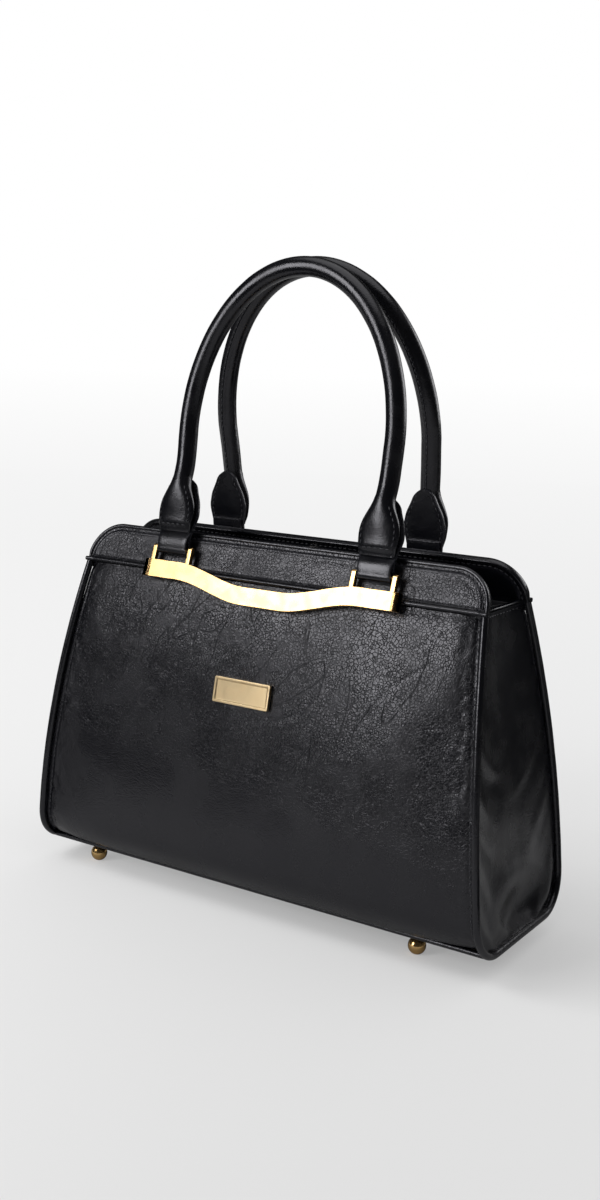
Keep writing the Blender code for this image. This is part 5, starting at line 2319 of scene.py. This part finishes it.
    def strap_row(self, step: float) -> tuple[Vector, float, Vector]:
        """The strap's middle line, half width and outward direction at a share of its length.

        Args:
            step: 0 at the flange's tip, 1 at the end of the return behind.

        Returns:
            The place relative to the pin, the half width and the direction out of its face.
        """
        stand = Stand.leaning(Vector((0, 0, 0)), self.pad_lean)
        tip = self.spade_rise + self.spade_tip
        wrap = math.pi * self.wrap_radius
        run = step * (tip + wrap + self.strap_return)
        if run < tip:
            rise = tip - run
            end = min(run / self.tip_round, 1.0)
            width = self.spade(rise) * math.sqrt(max(1 - (1 - end) ** 2, 0.02))
            bow = self.strap_bow * math.sin(math.pi * min(rise / self.pad_foot, 1.0))
            return stand.at(0.0, rise, self.wrap_radius + bow), width, stand.out
        if run < tip + wrap:
            angle = (run - tip) / self.wrap_radius
            out = stand.out * math.cos(angle) - stand.up * math.sin(angle)
            return out * self.wrap_radius, self.strap_half_width, out
        rise = run - tip - wrap
        closed = self.wrap_radius - self.strap_thickness - FORM.gap
        offset = -self.wrap_radius + (closed + self.wrap_radius) * eased(rise / self.close_rise)
        return stand.at(0.0, rise, offset), self.strap_half_width, -stand.out

    def make_strap(self, side: int) -> None:
        """The flange behind a pad, which wraps round the pin and comes up behind itself.

        Args:
            side: -1 for the left strap, 1 for the right one.
        """
        origin = self.pin(side)

        def place(across: float, up: float) -> Vector:
            """The point for a share across and up."""
            spot, width, out = self.strap_row(up)
            fall = self.strap_fall * bell(1 - abs(across), 0.10) * width / self.strap_half_width
            return origin + spot + Vector((across * width, 0, 0)) - out * fall

        def rub(across: float, up: float) -> float:
            """How rubbed the leather is there."""
            return 0.7 * bell(1 - abs(across), 0.07)

        name = f"{self.half.value}_handle_{'left' if side < 0 else 'right'}_strap"
        strap = Bench.laid(name, (22, 110), place, {"rub": rub})
        Bench.wall(strap, self.strap_thickness, 0.0)
        Bench.edit(strap, Bench.turn_faces)
        Bench.soften(strap, self.strap_edge, 2, 60)
        Bench.smooth(strap)
        self.enter(strap, self.room.smooth, name)

    def make(self) -> None:
        """Makes the whole handle."""
        self.make_roll()
        for side in (-1, 1):
            self.make_strap(side)


# Studio


@dataclass
class Studio:
    """The floor, the lamps, the screens, the background and the camera."""

    camera_place: Colour = (0.4524, -0.6863, 0.3384)
    yaw: float = math.radians(33.18)
    pitch: float = math.radians(-10.66)
    roll: float = math.radians(1.58)
    lens: float = 41.82
    sensor: float = 36.0
    clip: tuple[float, float] = (0.01, 50)
    floor_radius: float = 14.0
    floor_near: float = 0.71
    # painted shade: the share of the floor's colour that reflections show
    floor_reflection_shade: float = 0.54
    floor_roughness: float = 0.9
    floor_specular: float = 0.2
    fade_centre: Colour = (0.20, -0.42, 0.0)
    fade_start: float = 0.06
    fade_reach: float = 0.9
    fade_share: float = 1.07
    ambient: float = 0.65
    lamp_aim: Colour = (0.0, -0.03, 0.15)
    key_distance: float = 1.8
    key_turn: float = math.radians(30)
    key_rise: float = math.radians(19)
    key_size: tuple[float, float] = (0.74, 1.12)
    key_power: float = 14.2
    sky_distance: float = 2.2
    sky_turn: float = math.radians(62)
    sky_rise: float = math.radians(48)
    sky_size: tuple[float, float] = (1.0, 1.0)
    sky_power: float = 19.0
    back_glow: float = 3.0
    glow_aim: Colour = (0.0, 0.03, 0.15)
    # screens, end screens and flags show in reflections alone: a painted dark reflection with a faint glow
    screen_radius: float = 2.7
    screen_foot: float = -0.05
    # the screens' faint glow, which the leather shows as a painted dark reflection
    screen_reflected_glow: float = 0.03
    back_opening: tuple[float, float] = (math.radians(27), math.radians(17))
    top_opening: tuple[float, float] = (math.radians(34), math.radians(22))
    end_screen_size: Colour = (0.46, 0.60, 0.30)
    end_screen_place: Colour = (0.40, 0.45, 0.001)
    end_screen_turn: float = math.radians(12)
    end_opening: tuple[float, float] = (0.17, 0.30)
    opening_edge: float = 0.02
    flag_turns: tuple[float, float] = (math.radians(11), math.radians(57))
    flag_size: Colour = (0.50, 0.68, 0.26)
    flag_distance: float = 1.15
    flag_lift: float = 0.001

    @staticmethod
    def toward(turn: float, rise: float) -> Vector:
        """The direction turned left of the front and raised above the floor."""
        level = math.cos(rise)
        return Vector((-math.sin(turn) * level, -math.cos(turn) * level, math.sin(rise)))

    def make_camera(self) -> None:
        """The camera, at the photograph's place and angle."""
        data = bpy.data.cameras.new("camera")
        data.lens = self.lens
        data.sensor_width = self.sensor
        data.clip_start, data.clip_end = self.clip
        camera = bpy.data.objects.new("camera", data)
        bpy.context.scene.collection.objects.link(camera)
        level = math.cos(self.pitch)
        forward = Vector((-math.sin(self.yaw) * level, math.cos(self.yaw) * level, math.sin(self.pitch)))
        right = forward.cross(Vector((0, 0, 1))).normalized()
        up = right.cross(forward)
        turned = right * math.cos(self.roll) + up * math.sin(self.roll)
        upright = up * math.cos(self.roll) - right * math.sin(self.roll)
        turn = Matrix((turned, upright, -forward)).transposed().to_4x4()
        camera.matrix_world = Matrix.Translation(self.camera_place) @ turn
        bpy.context.scene.camera = camera

    def make_floor(self) -> None:
        """A wide pale floor that fades to the white background far off, painted darker where reflections show
        it.
        """
        Bench.clear()
        bpy.ops.mesh.primitive_circle_add(vertices=96, radius=self.floor_radius, fill_type="NGON")
        floor = Bench.named("floor")
        near = (self.floor_near,) * 3
        sheet = NodeSheet("pale_floor", near, self.floor_roughness)
        seen = sheet.ray("Camera").most(sheet.ray("Transmission"))
        # painted shade: seen in reflections the floor is darker than it is lit
        tint = sheet.blend(sheet.ray("Glossy"), near, shade(near, *(self.floor_reflection_shade,) * 3))
        sheet.set(Base_Color=tint, Specular_IOR_Level=self.floor_specular)
        far = sheet.vector("DISTANCE", sheet.place(), self.fade_centre, "Value")
        far = (far - self.fade_start).most(0.0)
        share = (far / (far + self.fade_reach) * self.fade_share).least(1.0)
        plain = Level(sheet, sheet.shader.outputs[0])
        sheet.surface(sheet.mix(share * seen, plain, sheet.glow(1.0)))
        floor.data.materials.append(sheet.material)

    def hide_but_reflect(self, screen: Piece) -> None:
        # seen in reflections alone, so what it shows is a painted reflection
        screen.visible_camera = False
        screen.visible_diffuse = False
        screen.visible_transmission = False
        screen.visible_volume_scatter = False
        screen.visible_shadow = False

    def screen_sheet(self, name: str, open_share: Callable[[NodeSheet], Level | float]) -> bpy.types.Material:
        """A dark, faintly glowing screen, seen in reflections alone, that paints dark reflections and lets
        the background through where it is open.

        Args:
            name: The material's name.
            open_share: Gives how open it is at a place, from 0 to 1.

        Returns:
            The material.
        """
        sheet = NodeSheet(name, (self.screen_reflected_glow,) * 3, 1.0)
        clear = sheet.level("BsdfTransparent")
        sheet.surface(sheet.mix(open_share(sheet), sheet.glow(self.screen_reflected_glow), clear))
        return sheet.material

    def tent_opening(self, sheet: NodeSheet) -> Level:
        """How open the screens all round are at a place: behind and overhead."""
        place = sheet.level("VectorMath", 0, {0: sheet.place()}, operation="NORMALIZE")
        behind = -self.toward(self.key_turn, -self.key_rise)
        shares = []
        for centre, (wide, narrow) in ((behind, self.back_opening), (Vector((0, 0, 1)), self.top_opening)):
            near = sheet.vector("DOT_PRODUCT", place, centre, "Value")
            shares.append(near.ranged(math.cos(wide), math.cos(narrow)))
        return shares[0].most(shares[1])

    def end_slits(self, sheet: NodeSheet) -> Level:
        """How open an end screen is at a place: a slit on each side of its middle."""
        first, last = self.end_opening
        edge = self.opening_edge
        along = abs(sheet.level("SeparateXYZ", "Y", {"Vector": sheet.place()}))
        # the slits leave a band of sheen in the end screens' painted dark reflection
        return along.ranged(first - edge, first + edge) * along.ranged(last - edge, last + edge, 1.0, 0.0)

    def make_screens(self) -> None:
        """Dark screens all round, seen in reflections alone, that paint dark reflections to keep black
        leather black, open behind and overhead.
        """
        Bench.clear()
        bpy.ops.mesh.primitive_uv_sphere_add(segments=48, ring_count=24, radius=self.screen_radius)
        tent = Bench.named("reflection_screens")
        foot = (0, 0, self.screen_foot)
        Bench.edit(
            tent,
            lambda: bpy.ops.mesh.bisect(plane_co=foot, plane_no=(0, 0, 1), clear_inner=True),
            lambda: Bench.turn_faces(inward=True),
        )
        tent.data.materials.append(self.screen_sheet("screen_cloth", self.tent_opening))
        self.hide_but_reflect(tent)
        cloth = self.screen_sheet("end_screen_cloth", self.end_slits)
        turn = Matrix.Rotation(self.end_screen_turn, 4, "Z")
        for half in (Half.RIGHT, Half.LEFT):
            stand = half.turn @ Matrix.Translation(self.end_screen_place) @ turn
            self.make_card(half.value + "_end_screen", stand, self.end_screen_size, cloth)
        dark = self.screen_sheet("flag_cloth", lambda sheet: 0.0)
        away = Matrix.Translation((0, self.flag_distance, self.flag_lift))
        for half in (Half.FRONT, Half.BACK):
            for number, angle in enumerate(self.flag_turns):
                stand = half.turn @ Matrix.Rotation(math.pi - angle, 4, "Z") @ away
                self.make_card(f"{half.value}_flag_{number + 1}", stand, self.flag_size, dark)

    def make_card(self, name: str, stand: Matrix, size: Colour, cloth: bpy.types.Material) -> None:
        """A dark card, seen in reflections alone, that paints a dark reflection; it stands on the floor
        beyond the bag, with a foot that lies before it.

        Args:
            name: The card's name.
            stand: Where the card meets its foot, with the bag on its -Y side.
            size: Its width, the foot's length and the card's height.
            cloth: Its material.
        """
        width, length, height = size
        card = Bench.card(name)
        Bench.move(card, Matrix.Translation((0, -length / 2, 0)) @ Matrix.Diagonal((width, length, 1, 1)))
        rise = {"value": (0, 0, height)}
        Bench.work(
            card,
            lambda middle, along: middle.y > -SLIVER,
            lambda: bpy.ops.mesh.extrude_region_move(TRANSFORM_OT_translate=rise),
        )
        Bench.move(card, stand)
        card.data.materials.append(cloth)
        self.hide_but_reflect(card)

    def make_back_glow(self) -> None:
        """A soft panel behind the bag, as large as the key lamp, that shows in reflections alone."""
        panel = Bench.card("back_glow")
        out = self.toward(self.key_turn + math.pi, self.key_rise)
        turn = out.to_track_quat("Z", "Y").to_matrix().to_4x4()
        stand = Matrix.Translation(Vector(self.glow_aim) + out * self.key_distance) @ turn
        Bench.move(panel, stand @ Matrix.Diagonal((*self.key_size, 1, 1)))
        sheet = NodeSheet("glow_cloth", WHITE, 1.0)
        sheet.surface(sheet.glow(self.back_glow))
        panel.data.materials.append(sheet.material)
        self.hide_but_reflect(panel)

    def make_lamp(self, name: str, out: Vector, size: tuple[float, float], power: float) -> Piece:
        """A soft rectangular lamp that points at the bag.

        Args:
            name: The lamp's name.
            out: Where it stands, from what it points at.
            size: Its width and height.
            power: Its power in watts.

        Returns:
            The lamp.
        """
        data = bpy.data.lights.new(name, "AREA")
        data.shape = "RECTANGLE"
        data.size, data.size_y = size
        data.energy = power
        lamp = bpy.data.objects.new(name, data)
        bpy.context.scene.collection.objects.link(lamp)
        lamp.location = Vector(self.lamp_aim) + out
        lamp.rotation_euler = (-out).to_track_quat("-Z", "Y").to_euler()
        return lamp

    def make_world(self) -> None:
        """A white background over an even, weaker ambient light."""
        world = bpy.context.scene.world or bpy.data.worlds.new("world")
        bpy.context.scene.world = world
        world.use_nodes = True
        world.cycles.sampling_method = "NONE"
        nodes = Nodes(world.node_tree)
        nodes.tree.nodes.clear()
        seen = nodes.ray("Camera").most(nodes.ray("Glossy")).most(nodes.ray("Transmission"))
        strength = nodes.level("MapRange", "Result", {"Value": seen, "To Min": self.ambient, "To Max": 1.0})
        light = nodes.level("Background", 0, {"Color": (*WHITE, 1.0), "Strength": strength})
        nodes.add("OutputWorld", {"Surface": light})

    def make(self) -> None:
        """Sets up the whole studio."""
        self.make_camera()
        self.make_floor()
        self.make_world()
        self.make_screens()
        key = self.toward(self.key_turn, self.key_rise) * self.key_distance
        self.make_lamp("key", key, self.key_size, self.key_power)
        high = self.toward(self.sky_turn, self.sky_rise) * self.sky_distance
        sky = self.make_lamp("sky", high, self.sky_size, self.sky_power)
        sky.visible_glossy = False
        self.make_back_glow()
        bpy.context.scene.view_settings.view_transform = "Standard"


def main() -> None:
    """Builds the studio and every sub-assembly in order."""
    logging.basicConfig(level=logging.INFO, format="%(name)s %(message)s")
    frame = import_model()
    room = Workroom(frame["nodes"])
    Studio().make()
    for half in (Half.FRONT, Half.BACK):
        Wall(half, room).make()
    for half in (Half.RIGHT, Half.LEFT):
        SideGusset(half, room).make()
    Underside(room).make()
    Inside(room).make()
    for half in (Half.FRONT, Half.BACK):
        BracketBar(half, room).make()
    NamePlate(room).make()
    Handle(Half.FRONT, Body.FRONT_HANDLE, room, math.radians(23), math.radians(7.8), 0.0008).make()
    Handle(Half.BACK, Body.BACK_HANDLE, room, math.radians(6), math.radians(8.9), 0.0018).make()


if __name__ == "__main__":
    main()
